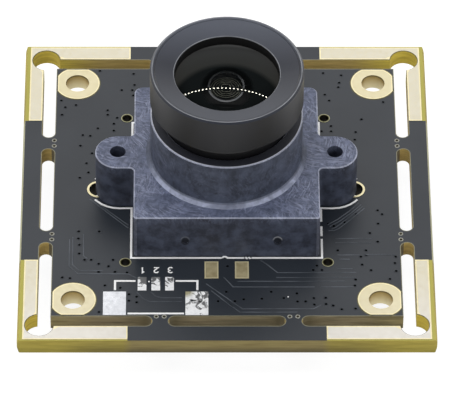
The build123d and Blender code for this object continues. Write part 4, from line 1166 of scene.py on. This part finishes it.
# The same vias come out below, where no foot stands, and short tracks lead away from the processor
belowTracks = {
    "width": 0.12,
    "slope": 0.03,
    "footClear": 0.45,  # from a via's middle to the nearest lead
    # how far a track runs before its bend, how much further for each millimetre off the middle, and its bend
    "sideways": (0.35, 0.22, 0.3),
    "lengthways": (0.2, 0.1, 0.25),
}
below = bmesh.new()
belowRims = bmesh.new()
belowMouths = bmesh.new()
for x, y in tracks["vias"] + tracks["ringedVias"]:
    clear = belowTracks["footClear"]
    if any(x0 - clear < x < x1 + clear and y0 - clear < y < y1 + clear for x0, y0, x1, y1 in feet):
        continue
    layRim(belowRims, x, y, tracks["viaRim"], 0.0, -1)
    spinProfile(belowMouths, [(tracks["viaR"], -0.006), (0, -0.002)], 12, centre=(x, y))
chipLow, chipHigh = (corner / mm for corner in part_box("processor"))
middleX, middleY = (chipLow.x + chipHigh.x) / 2, (chipLow.y + chipHigh.y) / 2
for index, (x0, y0, x1, y1) in enumerate(islandBoxes("processor_leads", solderLook["footDepth"])):
    cx, cy = (x0 + x1) / 2, (y0 + y1) / 2
    outX, outY = cx - middleX, cy - middleY
    sideways = abs(outX) > abs(outY)
    low, high, out, level, off = (x0, x1, outX, cy, outY) if sideways else (y0, y1, outY, cx, outX)
    run, longer, step = belowTracks["sideways" if sideways else "lengthways"]
    reach = math.copysign(1.0, out)
    begin = high if reach > 0 else low
    bend = run + longer * abs(off)
    spread = math.copysign(step, off) if index % 2 else 0.0
    points = [(begin, level), (begin + reach * bend, level), (begin + reach * (bend + step), level + spread)]
    if not sideways:
        points = [(across, along) for along, across in points]
    layLine(below, points, belowTracks["width"], 0.002, -tracks["rise"], slope=belowTracks["slope"])
addPiece("coveredTracksBelow", below, coveredMaterial, "module")
addPiece("viaRimsBelow", belowRims, boardMaterial, "module")
addPiece("viaMouthsBelow", belowMouths, mouthMaterial, "module")

# Legend below: a line round each chip, a dot at its first pin, brackets at the socket
belowLegend = {
    "width": 0.15,
    "slope": 0.01,
    "sunk": 0.004,
    "gap": 0.3,
    "chipGap": -0.02,
    "smallest": 0.8,
    "arm": 0.22,  # of the chip's shorter side
    "dot": 0.16,
    "dotAway": 0.45,
    "socketAway": 0.3,
    "socketArms": (1.2, 0.9),
}
marks = bmesh.new()
chips = []


def layMark(points):
    layLine(marks, points, belowLegend["width"], belowLegend["sunk"], -legend["thick"], slope=belowLegend["slope"])


for name in ("processor", "flash_memory", "surge_protector", "crystal_base", "regulators"):
    for x0, y0, x1, y1 in islandBoxes(name, 1.2):
        if min(x1 - x0, y1 - y0) > belowLegend["smallest"]:
            chips.append((name, x0, y0, x1, y1))
for name, x0, y0, x1, y1 in chips:
    gap = belowLegend["gap" if name == "crystal_base" else "chipGap"]
    x0, y0, x1, y1 = x0 - gap, y0 - gap, x1 + gap, y1 + gap
    arm = min(x1 - x0, y1 - y0) * belowLegend["arm"]
    for cx, cy, sx, sy in ((x0, y0, 1, 1), (x1, y0, -1, 1), (x1, y1, -1, -1), (x0, y1, 1, -1)):
        layMark([(cx + sx * arm, cy), (cx, cy), (cx, cy + sy * arm)])
    spinProfile(marks, [(belowLegend["dot"], belowLegend["sunk"]), (belowLegend["dot"] * 0.9, -legend["thick"]),
                        (0, -legend["thick"])], 14, centre=(x0 - belowLegend["dotAway"], y1 + belowLegend["dotAway"]))
low, high = (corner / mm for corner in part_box("socket_housing"))
away, (armX, armY) = belowLegend["socketAway"], belowLegend["socketArms"]
for side in (-1, 1):
    cx = (low.x + high.x) / 2 + side * ((high.x - low.x) / 2 + away)
    layMark([(cx - side * armX, low.y - away), (cx, low.y - away), (cx, low.y + armY)])
addPiece("printedLegendBelow", marks, inkMaterial, "module")

# A moulded dimple on each chip's face marks its first pin
dimple = {
    # resin moulded against a polished pin: smoother and shinier than the chip's face
    "finish": {"colours": ("#2d2d30", "#414145"), "roughness": 0.3, "grain": 1 / 3, "detail": 2.0},
    "radii": {"processor": 0.4, "flash_memory": 0.28},
    "inset": 0.85,  # from the chip's corner
}
dimples = bmesh.new()
for name, radius in dimple["radii"].items():
    low, high = (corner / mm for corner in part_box(name))
    spinProfile(dimples, [(radius, low.z - 0.003), (radius * 0.85, low.z - 0.012), (radius * 0.5, low.z - 0.006),
                          (0, low.z - 0.004)], 28, centre=(low.x + dimple["inset"], high.y - dimple["inset"]))
dimpleMaterial = grained("polishedEjectorMark", dimple["finish"])
addPiece("firstPinDimples", dimples, dimpleMaterial, "module", smooth=True)
print("underside is finished")
